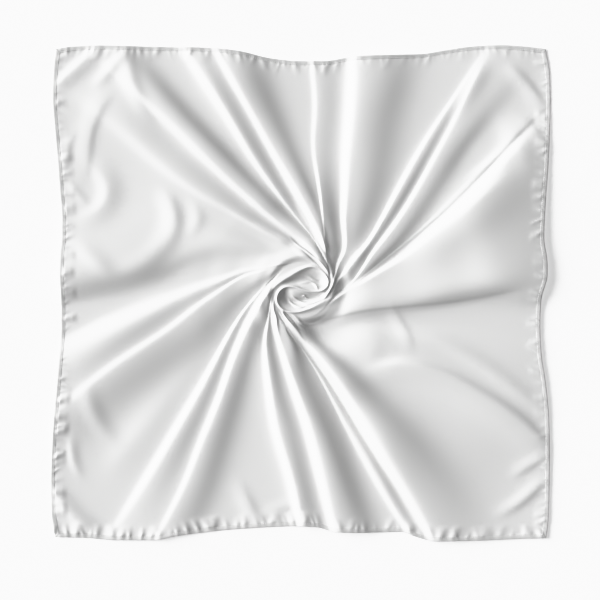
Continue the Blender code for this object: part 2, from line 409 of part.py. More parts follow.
def spline(points, per_span):
    """Points along a smooth curve through the given ones."""
    pts = np.asarray(points, float)
    ext = np.vstack([2 * pts[0] - pts[1], pts, 2 * pts[-1] - pts[-2]])
    out = []
    for i in range(1, len(ext) - 2):
        a, b, c, d = ext[i - 1], ext[i], ext[i + 1], ext[i + 2]
        for t in np.arange(per_span) / per_span:
            out.append(0.5 * (2 * b + (c - a) * t + (2 * a - 5 * b + 4 * c - d) * t**2
                              + (3 * b - a - 3 * c + d) * t**3))
    out.append(pts[-1])
    return np.array(out)


def strand(x, y, path):
    """Height in mm of one strand (or depth of one crease) at plan points.

    Rounded beads strung closely along the path, wide enough to run together.
    """
    out = np.zeros(x.shape)
    fine = spline(path, 12)
    run = np.concatenate([[0.0], np.cumsum(np.hypot(*np.diff(fine[:, :2], axis=0).T))]) * GRID
    pitch = 0.42 * max(min(row[3] for row in path), 0.8)
    at = np.linspace(0.0, run[-1], max(int(run[-1] / pitch), 4) + 1)
    px, py, tall, left, right = (np.interp(at, run, fine[:, i]) for i in range(5))
    left, right = np.maximum(left, 0.6), np.maximum(right, 0.6)
    tx, ty = np.gradient(px), np.gradient(py)
    size = np.hypot(tx, ty)
    tx, ty, bead = tx / size, ty / size, at[1] - at[0]
    wide = 3.0 * max(left.max(), right.max()) / GRID
    near = ((x > px.min() - wide) & (x < px.max() + wide) & (y > py.min() - wide) & (y < py.max() + wide))
    if not np.any(near):
        return out
    qx, qy = x[near], y[near]
    total = np.zeros(qx.shape)
    for i in range(len(at)):
        dx, dy = (qx - px[i]) * GRID, (qy - py[i]) * GRID
        side = np.tanh((tx[i] * dy - ty[i] * dx) / (0.7 * min(left[i], right[i])))
        reach = 0.5 * (left[i] + right[i]) + 0.5 * (left[i] - right[i]) * side
        total += tall[i] * bead / 1.7725 / reach * np.exp(-(dx * dx + dy * dy) / (reach * reach))
    out[near] = total
    return out


def strands(x, y):
    out = np.zeros(x.shape)
    for _name, path in STRANDS:
        out = out + strand(x, y, path)
    return out


def twist(x, y):
    """Height in mm of the top of the twist, under its strands."""
    return TWIST_TOP + (TWIST_RIM - TWIST_TOP) * (x * x + y * y) / TWIST_R**2


def cloth_height(x, y):
    """Underside of the spread cloth in mm above the surface it lies on."""
    x, y = np.asarray(x, float), np.asarray(y, float)
    r, bearing = bearing_of(x, y)
    out = folds(np.maximum(r, 29.0), bearing)
    near = r < BLEND_OUT
    if np.any(near):
        mix = smooth(BLEND_IN, BLEND_OUT, r[near])
        out[near] = out[near] * mix + twist(x[near], y[near]) * (1 - mix)
    out = out + strands(x, y) - REST_CUT
    return 0.5 * (out + np.sqrt(out**2 + 0.04))


# ------------------------------------------------------------ the outline
SIDES = {
    "top": {"curve": pchip(*zip(*SIDE_TOP)), "ends": ("top_right", "top_left"), "flat": 0},
    "left": {"curve": pchip(*zip(*SIDE_LEFT)), "ends": ("top_left", "bottom_left"), "flat": 1},
    "bottom": {"curve": pchip(*zip(*SIDE_BOTTOM)), "ends": ("bottom_left", "bottom_right"), "flat": 0},
    "right": {"curve": pchip(*zip(*SIDE_RIGHT)), "ends": ("bottom_right", "top_right"), "flat": 1},
}


def side_point(side, s, inset):
    """Point on a side, s from 0 to 1 counter-clockwise, inset in divisions."""
    row = SIDES[side]
    a, b = np.array(CORNERS[row["ends"][0]]), np.array(CORNERS[row["ends"][1]])
    k = row["flat"]
    along = a[k] + s * (b[k] - a[k])
    off = row["curve"](along)
    run = np.sign(b[k] - a[k])
    moved = (a[k] + run * inset) + s * ((b[k] - run * inset) - (a[k] + run * inset))
    inward = -np.sign(off)
    return (moved, off + inward * inset) if k == 0 else (off + inward * inset, moved)


def corner_bearing(name, inset):
    cx, cy = CORNERS[name]
    x, y = cx - math.copysign(inset, cx), cy - math.copysign(inset, cy)
    return float(bearing_of(np.array(x), np.array(y))[1]) % 360.0


def rim_lookup(side, inset):
    """Along one side: straightened bearing, radius and place along it."""
    s = np.linspace(0, 1, 241)
    x, y = side_point(side, s, inset)
    r, bearing = bearing_of(x, y)
    bearing = np.unwrap(bearing, period=360.0)
    start = corner_bearing(SIDES[side]["ends"][0], inset)
    bearing = bearing + 360.0 * round((start - bearing[0]) / 360.0)
    return bearing, r, s


def crowd(r, bearing):
    """How closely columns stand here: close on slopes, loose on flats."""
    p = np.mod(bearing, 360.0)
    want = np.full(p.shape, 0.10)
    place = ring_place(r)
    for where, wide, climb in SLOPES:
        at, w = at_ring(where, place), np.maximum(at_ring(wide, place), 1.6)
        used = np.minimum(np.abs(at_ring(climb, place)), 1.0)
        off = np.mod(p - at + 180.0, 360.0) - 180.0
        want = want + 0.55 * used / w * np.exp(-(off / (0.75 * w))**2)
    return want


def fold_lines(radii):
    """Bearings that the slopes follow on some circles, in order, with the
    turns before and after."""
    place = ring_place(np.asarray(radii, float))
    rows = np.sort(np.array([at_ring(where, place) for where, _wide, _climb in SLOPES]), axis=0)
    for i in range(1, len(rows)):
        rows[i] = np.maximum(rows[i], rows[i - 1] + LINE_GAP)
    return np.concatenate([rows - 360.0, rows, rows + 360.0])


def spaced(r, start, stop, count):
    """count + 1 bearings from start to stop on one circle, crowded on slopes."""
    fine = np.linspace(start, stop, 721)
    want = crowd(np.full(fine.shape, r), fine)
    total = np.concatenate([[0], np.cumsum(0.5 * (want[1:] + want[:-1]))])
    return np.interp(np.linspace(0, total[-1], count + 1), total, fine)


def panel_grid(inset, inner, rings, columns, swell=1.35):
    """Plan points of the spread cloth: rows are rings, inner one first.
    Columns are placed on the SET_R circle and follow the folds from there."""
    xs, ys = [], []
    radii = np.linspace(inner, 350, 200)
    lines, set_lines = fold_lines(radii), fold_lines([SET_R])[:, 0]
    for side in ("top", "left", "bottom", "right"):
        ends = []
        for name in SIDES[side]["ends"]:
            cx, cy = CORNERS[name]
            corner_r = math.hypot(abs(cx) - inset, abs(cy) - inset)
            ends.append(float(np.interp(corner_bearing(name, inset), fold_lines([corner_r])[:, 0], set_lines)))
        if ends[1] < ends[0]:
            ends[1] += 360.0
        rim_b, rim_r, _s = rim_lookup(side, inset)
        for start in spaced(SET_R, ends[0], ends[1], columns[side])[:-1]:
            lane = np.array([np.interp(start, set_lines, lines[:, k]) for k in range(len(radii))])
            gap = radii - np.interp(lane, rim_b, rim_r)
            edge = radii[np.argmax(gap > 0)]
            for _ in range(6):
                edge = float(np.interp(np.interp(edge, radii, lane), rim_b, rim_r))
            r = inner + (edge - inner) * (np.linspace(0, 1, rings + 1)**swell)
            x, y = place_of(r, np.interp(r, radii, lane))
            xs.append(x)
            ys.append(y)
    return np.array(xs).T, np.array(ys).T


# ---------------------------------------------------------------- meshes
def move_to_frame():
    """Shift that puts the middle of the outline's box at the origin, mm."""
    xs, ys = [], []
    for side in SIDES:
        x, y = side_point(side, np.linspace(0, 1, 400), 0.0)
        xs.append(x)
        ys.append(y)
    xs, ys = np.concatenate(xs), np.concatenate(ys)
    return -0.5 * (xs.min() + xs.max()) * GRID, -0.5 * (ys.min() + ys.max()) * GRID


SHIFT = move_to_frame()


def point(x, y, z):
    """Plan divisions and a height in mm to metres in the part's frame."""
    return ((x * GRID + SHIFT[0]) * 0.001, (y * GRID + SHIFT[1]) * 0.001, z * 0.001)


def material(name, colour, roughness):
    mat = bpy.data.materials.new(name)
    mat.use_nodes = True
    shader = mat.node_tree.nodes["Principled BSDF"]
    shader.inputs["Base Color"].default_value = (*colour, 1.0)
    shader.inputs["Roughness"].default_value = roughness
    shader.inputs["Metallic"].default_value = 0.0
    return mat


def wall_object(name, x, y, low, high, closed, mat):
    """Closed wall between two height grids over the same plan grid."""
    bm = bmesh.new()
    rows, cols = x.shape
    under = [[bm.verts.new(point(x[i, j], y[i, j], low[i, j])) for j in range(cols)] for i in range(rows)]
    over = [[bm.verts.new(point(x[i, j], y[i, j], high[i, j])) for j in range(cols)] for i in range(rows)]
    span = cols if closed else cols - 1
    for i in range(rows - 1):
        for j in range(span):
            k = (j + 1) % cols
            bm.faces.new((over[i][j], over[i + 1][j], over[i + 1][k], over[i][k]))
            bm.faces.new((under[i][j], under[i][k], under[i + 1][k], under[i + 1][j]))
    for j in range(span):
        k = (j + 1) % cols
        bm.faces.new((under[0][j], over[0][j], over[0][k], under[0][k]))
        bm.faces.new((under[-1][j], under[-1][k], over[-1][k], over[-1][j]))
    if not closed:
        for i in range(rows - 1):
            bm.faces.new((under[i][0], under[i + 1][0], over[i + 1][0], over[i][0]))
            bm.faces.new((under[i][-1], over[i][-1], over[i + 1][-1], under[i + 1][-1]))
    bmesh.ops.recalc_face_normals(bm, faces=bm.faces[:])
    bmesh.ops.triangulate(bm, faces=bm.faces[:], quad_method="SHORT_EDGE")
    mesh = bpy.data.meshes.new(name)
    bm.to_mesh(mesh)
    bm.free()
    obj = bpy.data.objects.new(name, mesh)
    bpy.context.scene.collection.objects.link(obj)
    mesh.materials.append(mat)
    mesh.shade_smooth()
    mesh.set_sharp_from_angle(angle=math.radians(50))
    return obj


def steep(x, y):
    """1 / cos of the cloth's tilt, so a wall keeps its thickness on slopes."""
    e = 0.4
    gx = (cloth_height(x + e, y) - cloth_height(x - e, y)) / (2 * e * GRID)
    gy = (cloth_height(x, y + e) - cloth_height(x, y - e)) / (2 * e * GRID)
    return np.minimum(np.sqrt(1 + gx**2 + gy**2), 1.9)


def spread_panel(mat):
    """The square's cloth between the hems and the twist."""
    inset = (HEM_WIDE + GAP) / GRID
    x, y = panel_grid(inset, KNOB_R, RINGS, COLUMNS)
    low = cloth_height(x, y)
    return wall_object("spread_panel", x, y, low, low + WALL * steep(x, y), True, mat)


def hem(side, mat):
    """One turned edge, cut on the same columns as the panel beside it."""
    seam = (HEM_WIDE + GAP) / GRID
    x, y = panel_grid(seam, KNOB_R, RINGS, COLUMNS)
    first = 0
    for other in ("top", "left", "bottom", "right"):
        if other == side:
            break
        first += COLUMNS[other]
    pick = [(first + i) % x.shape[1] for i in range(COLUMNS[side] + 1)]
    k = SIDES[side]["flat"]
    rim = (x[-1, pick], y[-1, pick])[k]
    a, b = CORNERS[SIDES[side]["ends"][0]][k], CORNERS[SIDES[side]["ends"][1]][k]
    run = math.copysign(1.0, b - a)
    s = (rim - (a + run * seam)) / ((b - run * seam) - (a + run * seam))
    s[0], s[-1] = 0.0, 1.0
    rows_x, rows_y = [], []
    for inset in (0.0, 0.5 * HEM_WIDE / GRID, HEM_WIDE / GRID):
        px, py = side_point(side, s, inset)
        px, py = np.array(px, float), np.array(py, float)
        mitre = 0.75 * GAP / GRID
        for end, way in ((0, run), (-1, -run)):
            if k == 0:
                px[end] += way * mitre
            else:
                py[end] += way * mitre
        rows_x.append(px)
        rows_y.append(py)
    gx, gy = np.array(rows_x)[::-1], np.array(rows_y)[::-1]
    low = cloth_height(gx, gy)
    return wall_object("hem_" + side, gx, gy, low, low + HEM_WALL, False, mat)


def twist_grid(upper):
    """Plan points of half the twisted heap, split along the lip between its
    hollows: rows go from the split to the rim, closer where the cloth is
    steep."""
    edge = KNOB_R - GAP / GRID
    split = spline([(-edge * math.cos(math.radians(9)), -edge * math.sin(math.radians(9))),
                    (-25, -2.2), (-21, 1.2), (-15.3, 3.8), (-9.6, 4.2), (-2.7, 2.1),
                    (4.8, -0.8), (12.3, -2.5), (18.6, -1.7), (24.5, 2.4),
                    (edge * math.cos(math.radians(12)), edge * math.sin(math.radians(12)))], 12)
    run = np.concatenate([[0], np.cumsum(np.hypot(*np.diff(split, axis=0).T))])
    at = np.linspace(0, run[-1], KNOB_ALONG + 1)
    sx, sy = np.interp(at, run, split[:, 0]), np.interp(at, run, split[:, 1])
    half = 0.5 * GAP / GRID
    side = 1.0 if upper else -1.0
    first, last = math.radians(180 + 9), math.radians(12)
    if upper:
        angle = np.linspace(first, last, KNOB_ALONG + 1)
    else:
        angle = np.linspace(first, last + 2 * math.pi, KNOB_ALONG + 1)
    ax, ay = edge * np.cos(angle), edge * np.sin(angle)
    # keep clear of the split line: the first row stands half a gap off it
    tx, ty = np.gradient(sx), np.gradient(sy)
    size = np.hypot(tx, ty)
    sx, sy = sx - side * ty / size * half, sy + side * tx / size * half
    ax[0], ay[0] = sx[0], sy[0]
    ax[-1], ay[-1] = sx[-1], sy[-1]
    fine = np.linspace(0, 1, 121)
    px = sx + fine[:, None] * (ax - sx)
    py = sy + fine[:, None] * (ay - sy)
    z = cloth_height(px, py)
    length = np.hypot(ax - sx, ay - sy) * GRID
    want = 0.6 * length / 40.0 + 1.0 * np.abs(np.gradient(z, axis=0)) * 3.0 + 0.02
    want = 0.25 * (np.roll(want, 1, axis=1) + np.roll(want, -1, axis=1)) + 0.5 * want
    total = np.concatenate([np.zeros((1, want.shape[1])), np.cumsum(0.5 * (want[1:] + want[:-1]), axis=0)])
    rows = np.array([np.interp(np.linspace(0, total[-1, j], KNOB_ACROSS + 1), total[:, j], fine)
                     for j in range(want.shape[1])]).T
    return sx + rows * (ax - sx), sy + rows * (ay - sy)


def twist_object(name, upper, mat):
    """Half of the twist.  Its hidden layers are one solid, flat underneath
    where it rests."""
    x, y = twist_grid(upper)
    high = cloth_height(x, y) + WALL
    rows, cols = x.shape
    bm = bmesh.new()
    over = []
    for i in range(rows):
        over.append([])
        for j in range(cols):
            shared = i > 0 and j in (0, cols - 1)
            over[i].append(over[0][j] if shared else bm.verts.new(point(x[i, j], y[i, j], high[i, j])))
    first = [bm.verts.new(point(x[0, j], y[0, j], 0.0)) for j in range(cols)]
    last = [first[0]] + [bm.verts.new(point(x[-1, j], y[-1, j], 0.0)) for j in range(1, cols - 1)] + [first[-1]]

    def face(*corners):
        ring = []
        for v in corners:
            if v not in ring:
                ring.append(v)
        if len(ring) > 2:
            bm.faces.new(ring)

    for i in range(rows - 1):
        for j in range(cols - 1):
            face(over[i][j], over[i + 1][j], over[i + 1][j + 1], over[i][j + 1])
    for j in range(cols - 1):
        face(first[j], over[0][j], over[0][j + 1], first[j + 1])
        face(last[j], last[j + 1], over[-1][j + 1], over[-1][j])
        face(first[j], first[j + 1], last[j + 1], last[j])
    bmesh.ops.recalc_face_normals(bm, faces=bm.faces[:])
    bmesh.ops.triangulate(bm, faces=bm.faces[:])
    mesh = bpy.data.meshes.new(name)
    bm.to_mesh(mesh)
    bm.free()
    obj = bpy.data.objects.new(name, mesh)
    bpy.context.scene.collection.objects.link(obj)
    mesh.materials.append(mat)
    mesh.shade_smooth()
    mesh.set_sharp_from_angle(angle=math.radians(50))
    return obj


def main():
    for obj in list(bpy.data.objects):
        bpy.data.objects.remove(obj, do_unlink=True)
    satin = material("satin", (0.86, 0.86, 0.85), 0.32)
    coil = material("satin_twist", (0.85, 0.85, 0.84), 0.32)
    edge = material("hem", (0.84, 0.84, 0.83), 0.45)
    spread_panel(satin)
    for side in ("top", "left", "bottom", "right"):
        hem(side, edge)
    twist_object("twist_upper_coil", True, coil)
    twist_object("twist_lower_coil", False, coil)


main()
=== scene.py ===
"""Looks of the square satin scarf: its cloth, hems, stitches, floor and light.

The cloth is one height over the floor, worked out from the same named tables
as the CAD solids and then carried further: rolled crests in the twist, narrow
strands between the folds, soft dents, and the puckers that the stitching pulls
along the hems.  Plan places are in divisions of the working grid, counted from
the middle of the twist; heights are in millimetres.
"""
import math

import bpy
import numpy as np
from mathutils.geometry import delaunay_2d_cdt
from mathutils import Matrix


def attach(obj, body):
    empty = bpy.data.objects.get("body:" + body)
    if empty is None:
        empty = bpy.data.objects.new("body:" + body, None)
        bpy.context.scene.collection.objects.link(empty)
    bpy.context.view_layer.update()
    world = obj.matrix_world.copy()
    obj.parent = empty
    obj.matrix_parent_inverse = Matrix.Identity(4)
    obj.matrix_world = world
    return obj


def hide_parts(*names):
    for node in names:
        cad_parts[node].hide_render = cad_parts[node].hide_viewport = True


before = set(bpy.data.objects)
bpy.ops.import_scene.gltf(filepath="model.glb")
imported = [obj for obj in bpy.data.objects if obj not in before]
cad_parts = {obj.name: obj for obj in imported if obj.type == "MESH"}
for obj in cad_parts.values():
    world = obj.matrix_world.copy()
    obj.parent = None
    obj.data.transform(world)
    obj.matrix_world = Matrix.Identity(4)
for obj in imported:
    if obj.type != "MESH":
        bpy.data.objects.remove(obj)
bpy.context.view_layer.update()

# ------------------------------------------------------------ driving sizes
GRID = 1.32            # mm, one division of the working grid
SWIRL_R = 28.0         # divisions, the folds run in tangent to this circle
TWIST_R = 36.0         # divisions, the twist is its own piece inside this
BLEND_IN, BLEND_OUT = 27.0, 35.0   # divisions, where the twist takes over
LIFT = 0.50            # mm, top face of the cloth above its CAD underside
REST_CUT = 0.45        # mm, folds lower than this lie on the floor
REST_SOFT = 0.7        # mm, how softly they come down on it
HEM_WIDE = 5.5         # mm
BORDER_WIDE = 24.0     # mm, the cloth that the hem stitching puckers
STITCH_PITCH = 2.8     # mm
COLUMNS = {"top": 208, "left": 190, "bottom": 208, "right": 174}
RINGS = 122
BORDER_SPLIT = 3       # border columns to each column of the field
BORDER_ROWS = 15

# ------------------------------------------------------------- fold table
# Going round counter-clockwise the cloth climbs and drops over the folds.
# Each row is one such slope: its bearing in degrees where it crosses the
# R_AT circles, how many degrees it leans to the window (+) or from it (-)
# there, and its width in degrees at the W_AT circles.  A bearing counts from
# +X and is straightened: the angle plus asin(SWIRL_R / radius), so a line
# tangent to the twist keeps one bearing.
R_AT = (36.0, 45.0, 55.0, 80.0, 105.0, 140.0, 190.0, 225.0, 275.0)
W_AT = (36.0, 55.0, 80.0, 140.0, 220.0)
WINDOW = 163.0         # degrees, where the main light stands
REACH = 330.0          # divisions, where the last slopes have run out
LIT_LEAN = 0.45        # of the listed leans, for a light this low
SHADED_LEAN = 0.78
OUTER_EASE = 0.15       # how much gentler the shaded slopes get towards the hems
STIFF = 0.008          # how firmly a band keeps to its own climb beside others
LIT_TRUST = 0.015       # lit bands may be steeper than listed, to bring the cloth down again
# Bands that keep their listed lean, however flat: beyond this radius, in divisions.
STILL = {"right_top": 20.0, "crease": 80.0, "strand": 80.0, "f9_bright": 95.0}
STILL_TRUST = 6.0      # and how firmly
TAIL_SHARE = 0.38      # of a lit slope's climb runs out softly to its sides
TAIL_WIDE = 3.2        # times as wide as the slope
TAIL_FROM = (70.0, 170.0)      # divisions, where the slopes begin to soften so
BALANCE = 300.0        # how closely the cloth comes down to the next field
LIT_SHARE = 0.38       # a lit band looks wider than its slope is
SHADED_SHARE = 1.15    # a shaded one looks narrower
BANDS = [
    # name           bearing at R_AT                                          lean at R_AT                              width at W_AT
    ("right_low",    (-10, -0.5, 2, 4, 5.6, 6.8, 7.8, 5.6, 5.6), (-16, -17, -18, -20, -20, -22, -19, -15, -3), (24, 14, 9.5, 5.8, 4.5)),
    ("right_top",    (22, 23, 24, 24, 24, 25.5, 28.5, 29, 32), (-0.1, -0.1, -0.1, -0.1, -1, -4, -7, -7, -4), (9, 9, 9, 8, 8)),
    ("right_crest",  (47, 40.5, 36, 34.7, 34.2, 36, 37.7, 39.3, 42), (24, 24, 24, 24, 22, 28, 20, 16, 0), (7, 6, 5, 5, 5.5)),
    ("crease",       (38, 38, 38, 38, 37.8, 38.2, 39.5, 40.6, 42), (0, 0, 0, -20, -30, -24, -14, 0, 0), (1, 1, 1, 0.9, 1)),
    ("strand",       (39, 39, 39, 39, 38.8, 39.4, 41, 41.8, 43), (0, 0, 0, 0, 0, 34, 30, 26, 0), (1.5, 1.5, 1.5, 1.6, 2)),
    ("f2_dark",      (42, 41.5, 41, 40.3, 40.5, 44, 48, 49.3, 49.3), (0, 0, -10, -38, -40, -34, -33, -34, -16), (4, 4, 4, 5, 3.5)),
    ("f2_bright",    (43, 42, 43.5, 49, 49.6, 51.3, 54, 55, 57.5), (0, 0, 16, 22, 22, 22, 24, 24, 16), (4, 4, 4.5, 2.8, 1.7)),
    ("f3_dark",      (57, 47.5, 52, 52, 52.6, 54.2, 56.2, 57, 57.6), (-31, -35, -31, -30, -34, -34, -24, -20, 0), (18, 9, 3, 3, 1.6)),
    ("f3_bright",    (66, 60.5, 60, 56, 57, 58.3, 59, 58.6, 58),              (-27, -12, 14, 22, 20, 22, 24, 20, 18),      (8, 9, 4.2, 3, 1.6)),
    ("f4_dark",      (72, 71, 69.5, 65, 65, 67.6, 72.2, 72, 73), (-28, -20, -12, -26, -30, -34, -37, -40, -14), (12, 8, 10, 12, 7.5)),
    ("f4_bright",    (76, 76, 72, 80.5, 82, 83.7, 84, 84.5, 85), (0, 0, 6, 24, 24, 26, 26, 22, 10), (8, 8, 7, 5, 3.6)),
    ("f5_dark",      (80, 80, 80, 87.5, 91.5, 91, 88.7, 89, 90), (-24, -32, -40, -46, -34, -12, -18, -18, 0), (12, 14, 12, 7, 5)),
    ("f5_bright",    (96, 96, 96, 96, 96.3, 97.3, 94.2, 95, 95),              (0, 0, 0, 10, 18, 26, 26, 20, 0),            (2.5, 2.5, 2.5, 3, 2.2)),
    ("f6_dark",      (95, 95, 95, 98.5, 102.8, 106, 108.4, 109.5, 109.5), (0, 0, 0, -27, -29, -26, -32, -40, -8), (4, 4, 4.5, 5.5, 6)),
    ("f6_bright",    (91, 97, 102.5, 108.5, 111.3, 113.8, 115.2, 116, 116.5), (16, 22, 20, 22, 24, 24, 24, 22, 10),        (18, 11, 8, 4, 2.4)),
    ("f7_dark",      (100, 104, 109.8, 114, 116.6, 118, 119, 119, 119), (0, 0, -20, -28, -27, -26, -24, -26, -10), (3, 3, 4, 5, 4.5)),
    ("f7_bright",    (101, 105, 111.7, 119, 121.4, 122.6, 122, 122.3, 122.5), (0, 0, 6, 22, 24, 26, 24, 24, 5),            (3, 2.5, 4, 3.7, 3.2)),
    ("f8_dark",      (103, 108.3, 115, 124, 127.4, 129, 130.3, 131, 131), (-25, -35, -33, -30, -26, -29, -30, -30, -16), (8, 6, 6, 4, 3.3)),
    ("f8_bright",    (118, 126, 130, 134.5, 136, 136.7, 136.5, 136.5, 136.5), (20, 22, 24, 22, 24, 22, 24, 24, 20),        (22, 12, 6.5, 3.5, 3.5)),
    ("f9_dark",      (131, 132, 137, 141.3, 142, 142, 141.3, 141, 140),       (-19, -8, -16, -18, -18, -17, -14, -10, 0),  (8, 4, 7, 8, 6)),
    ("f9_bright",    (146, 143.5, 145.5, 147.5, 148.2, 149, 147.8, 146, 145), (20, 19, 25, 26, 34, 34, 26, 24, 10), (20, 12, 6.5, 5, 7)),
    ("f10_dark",     (170, 170, 170, 173, 175, 186.5, 187, 187.7, 188), (0, 0, -3, -9, -10, -15, -22, -24, -10), (14, 14, 13, 6.8, 6)),
    ("f10_bright",   (187, 190, 187.5, 192, 193.6, 196, 198, 199, 200),       (13, 13, 14, 22, 24, 18, 14, 16, 8),         (12, 10, 8, 9, 10)),
    ("f11_dark",     (190, 190, 190.4, 196.3, 199.3, 202, 204.7, 206, 207), (0, 0, -6, -9, -9, -13, -14, -12, 0), (2, 2, 3, 6, 5)),
    ("f11_bright",   (194, 194, 193.5, 200, 203.6, 207.8, 209, 210, 212.5), (10, 12, 24, 28, 28, 28, 26, 26, 14), (5, 5, 6, 5, 4)),
    ("f12_dark",     (213.5, 213, 213, 217, 219, 219, 216.5, 216.5, 217),     (-30, -31, -28, -24, -22, -19, -18, -18, -10), (15, 14, 16, 14, 9)),
    ("f12_bright",   (222, 224, 225.3, 229.3, 232.5, 235, 236.2, 236.8, 237), (0, 10, 20, 24, 28, 26, 26, 28, 12),         (6, 5, 5, 4, 3)),
    ("f13_dark",     (226, 228, 229, 234, 237, 239.7, 241.2, 241.4, 241), (-10, -20, -24, -22, -22, -20, -20, -17, -5), (3, 3, 4.5, 4, 4)),
    ("f13_bright",   (233.7, 234.5, 236, 239, 241.6, 244.3, 245, 246, 245), (20, 17, 20, 26, 24, 22, 26, 20, 22), (14, 13, 7.5, 4, 2.1)),
    ("f14_dark",     (255, 257, 251, 250, 251, 251.4, 251.9, 252, 250), (-47, -42, -28, -28, -30, -32, -32, -30, -20), (16, 16, 8, 7.6, 5.2)),
    ("f14_bright",   (258, 260, 259, 263, 266.8, 270, 275, 276, 277),         (0, 0, 0, 22, 24, 24, 26, 28, 5),            (6, 6, 7, 5, 3)),
    ("f15_dark",     (259, 262, 265, 271, 273.3, 278.5, 279.3, 280, 280), (0, -20, -36, -32, -27, -25, -32, -32, 0), (8, 8, 6, 7.4, 4.4)),
    ("f15_bright",   (267, 273, 275, 279.7, 282, 284, 284, 284, 284),         (6, 13, 16, 24, 26, 22, 26, 28, 10),         (16, 10, 8, 6, 3)),
    ("f16_dark",     (291, 293.5, 294.6, 292.8, 293.2, 293.8, 292.4, 292, 292), (-14, -34, -46, -38, -40, -42, -40, -36, -14), (6, 6, 11, 7.2, 5)),
    ("strand16",     (296, 297, 298, 300, 299.8, 299, 299, 299, 300),         (0, 0, 0, 18, 28, 26, 24, 24, 17),           (1.5, 1.5, 2.5, 2.6, 2.1)),
    ("f17_dark",     (297, 298, 299.5, 302, 302.3, 301.9, 301.8, 301.7, 301), (0, 0, -10, -34, -40, -40, -38, -36, -10), (1.5, 1.5, 2, 1.9, 1.8)),
    ("f17_bright",   (300, 302, 304.6, 306, 305.7, 305, 304, 304, 303),       (24, 26, 26, 26, 34, 28, 26, 30, 12),        (15, 11, 9, 6, 3)),
    ("f18_dark",     (326, 320, 317, 317.6, 317.4, 316, 315.8, 315, 312), (-34, -27, -24, -27, -30, -28, -28, -28, -15), (22, 7, 8, 9.5, 8)),
]
# Where the cloth comes down between the folds: bearing, and height in mm at
# the F_AT circles.
F_AT = (45.0, 55.0, 80.0, 105.0, 125.0, 140.0, 165.0, 190.0, 225.0, 280.0)
FIELDS = [
    # name        bearing  height at F_AT                                   level up to the next
    ("low_right", 358.0, (8, 8, 8, 7.6, 7.3, 7.1, 6.6, 6, 5, 2.5),          1),
    ("f3_f4",      61.5, (9.5, 8.5, 6, 4.5, 3.5, 3, 2.5, 2, 1.5, 0.8),      1),
    ("f4_f5",      86.5, (8.5, 7.5, 5.5, 4.5, 3.5, 3, 2.5, 2, 1.5, 0.8),    1),
    ("f5_f6",      99.5, (12, 12, 10.5, 7.5, 5, 4, 2.5, 2, 1.5, 0.8),       1),
    ("f7_f8",     125.5, (10, 8.5, 6, 4.5, 3.5, 3, 2.5, 2, 1.5, 0.8),       1),
    ("left",      154.0, (10, 9.5, 9, 8.5, 8, 7, 5, 3.5, 2, 1.0),           0),
    ("left_high", 166.0, (10.5, 11, 12, 11.5, 10, 8.5, 6.8, 5.2, 3.5, 1.5),    0),
    ("f10_f11",   190.0, (12, 10.5, 7.5, 5.0, 3.5, 3, 2.5, 2, 1.5, 0.8),       1),
    ("f12",       223.5, (5.5, 4.5, 3.8, 3.5, 3.2, 3, 2.5, 2, 1.5, 0.8),      1),
    ("f14",       259.0, (9.5, 8.5, 6, 4.5, 3.5, 3, 2.5, 2, 1.5, 0.8),      1),
    ("f16",       296.5, (8, 7.5, 6, 4.5, 3.5, 3, 2.5, 2, 1.5, 0.8),        1),
    ("bowl",      326.0, (2, 4, 9.5, 10.2, 10, 9.8, 9.2, 8.5, 7.4, 3),         0),
    ("bowl_end",  344.0, (2, 4.5, 10, 11.2, 11, 10.8, 10, 9, 7.5, 3.2),   0),
]
CONE_AT = (29.0, 36.0, 45.0, 55.0, 67.0, 80.0)
CONE = (13.0, 12.0, 11.0, 10.2, 9.3, 8.2)      # mean height in mm close to the twist
CONE_IN, CONE_OUT = 36.0, 60.0                 # divisions, from the mean to the fields

# ------------------------------------------------------------ laid outline
# Each side of the laid square: distance along the side and how far out it
# lies, in divisions from the middle of the twist.  The sides dip in between
# the corners because the twist has drawn the cloth in.
CORNERS = {"top_right": (244.0, 241.0), "top_left": (-246.0, 241.0),
           "bottom_left": (-247.0, -247.0), "bottom_right": (244.0, -248.0)}
SIDE_TOP = [      # x, y
    (-246, 241), (-229, 243.6), (-203, 244.5), (-162, 243.6), (-100, 242.3),
    (-65, 239), (-31, 231.6), (-3, 229), (22, 229), (50, 233.3), (75, 234.5),
    (118, 236), (144, 240), (170, 243.6), (196, 245), (222, 243.6), (244, 241)]
SIDE_LEFT = [     # y, x
    (-247, -247), (-225, -250.5), (-191, -251.3), (-165, -250.5), (-139, -249),
    (-105, -246), (-70, -243), (-36, -241), (-9, -241), (19, -242), (36, -241.4),
    (53, -240), (71, -240), (96, -242), (129, -244.5), (157, -247), (195, -249.6),
    (226, -248), (241, -246)]
SIDE_BOTTOM = [   # x, y
    (-247, -247), (-220, -247.6), (-186, -250), (-148, -250), (-126, -246),
    (-100, -242.5), (-65, -239), (-2, -236), (15, -237), (32, -241.6),
    (58, -242.5), (98, -241.8), (115, -247), (132, -251), (162, -250.7),
    (187, -250), (222, -248.5), (244, -248)]
SIDE_RIGHT = [    # y, x
    (-248, 244), (-234, 246), (-199, 247.3), (-165, 247.7), (-130, 247),
    (-96, 244), (-60, 239), (-36, 238), (-10, 239), (16, 245), (25, 245),
    (53, 241.7), (88, 243.4), (122, 246), (157, 247.7), (191, 248.5),
    (217, 247.7), (241, 244)]

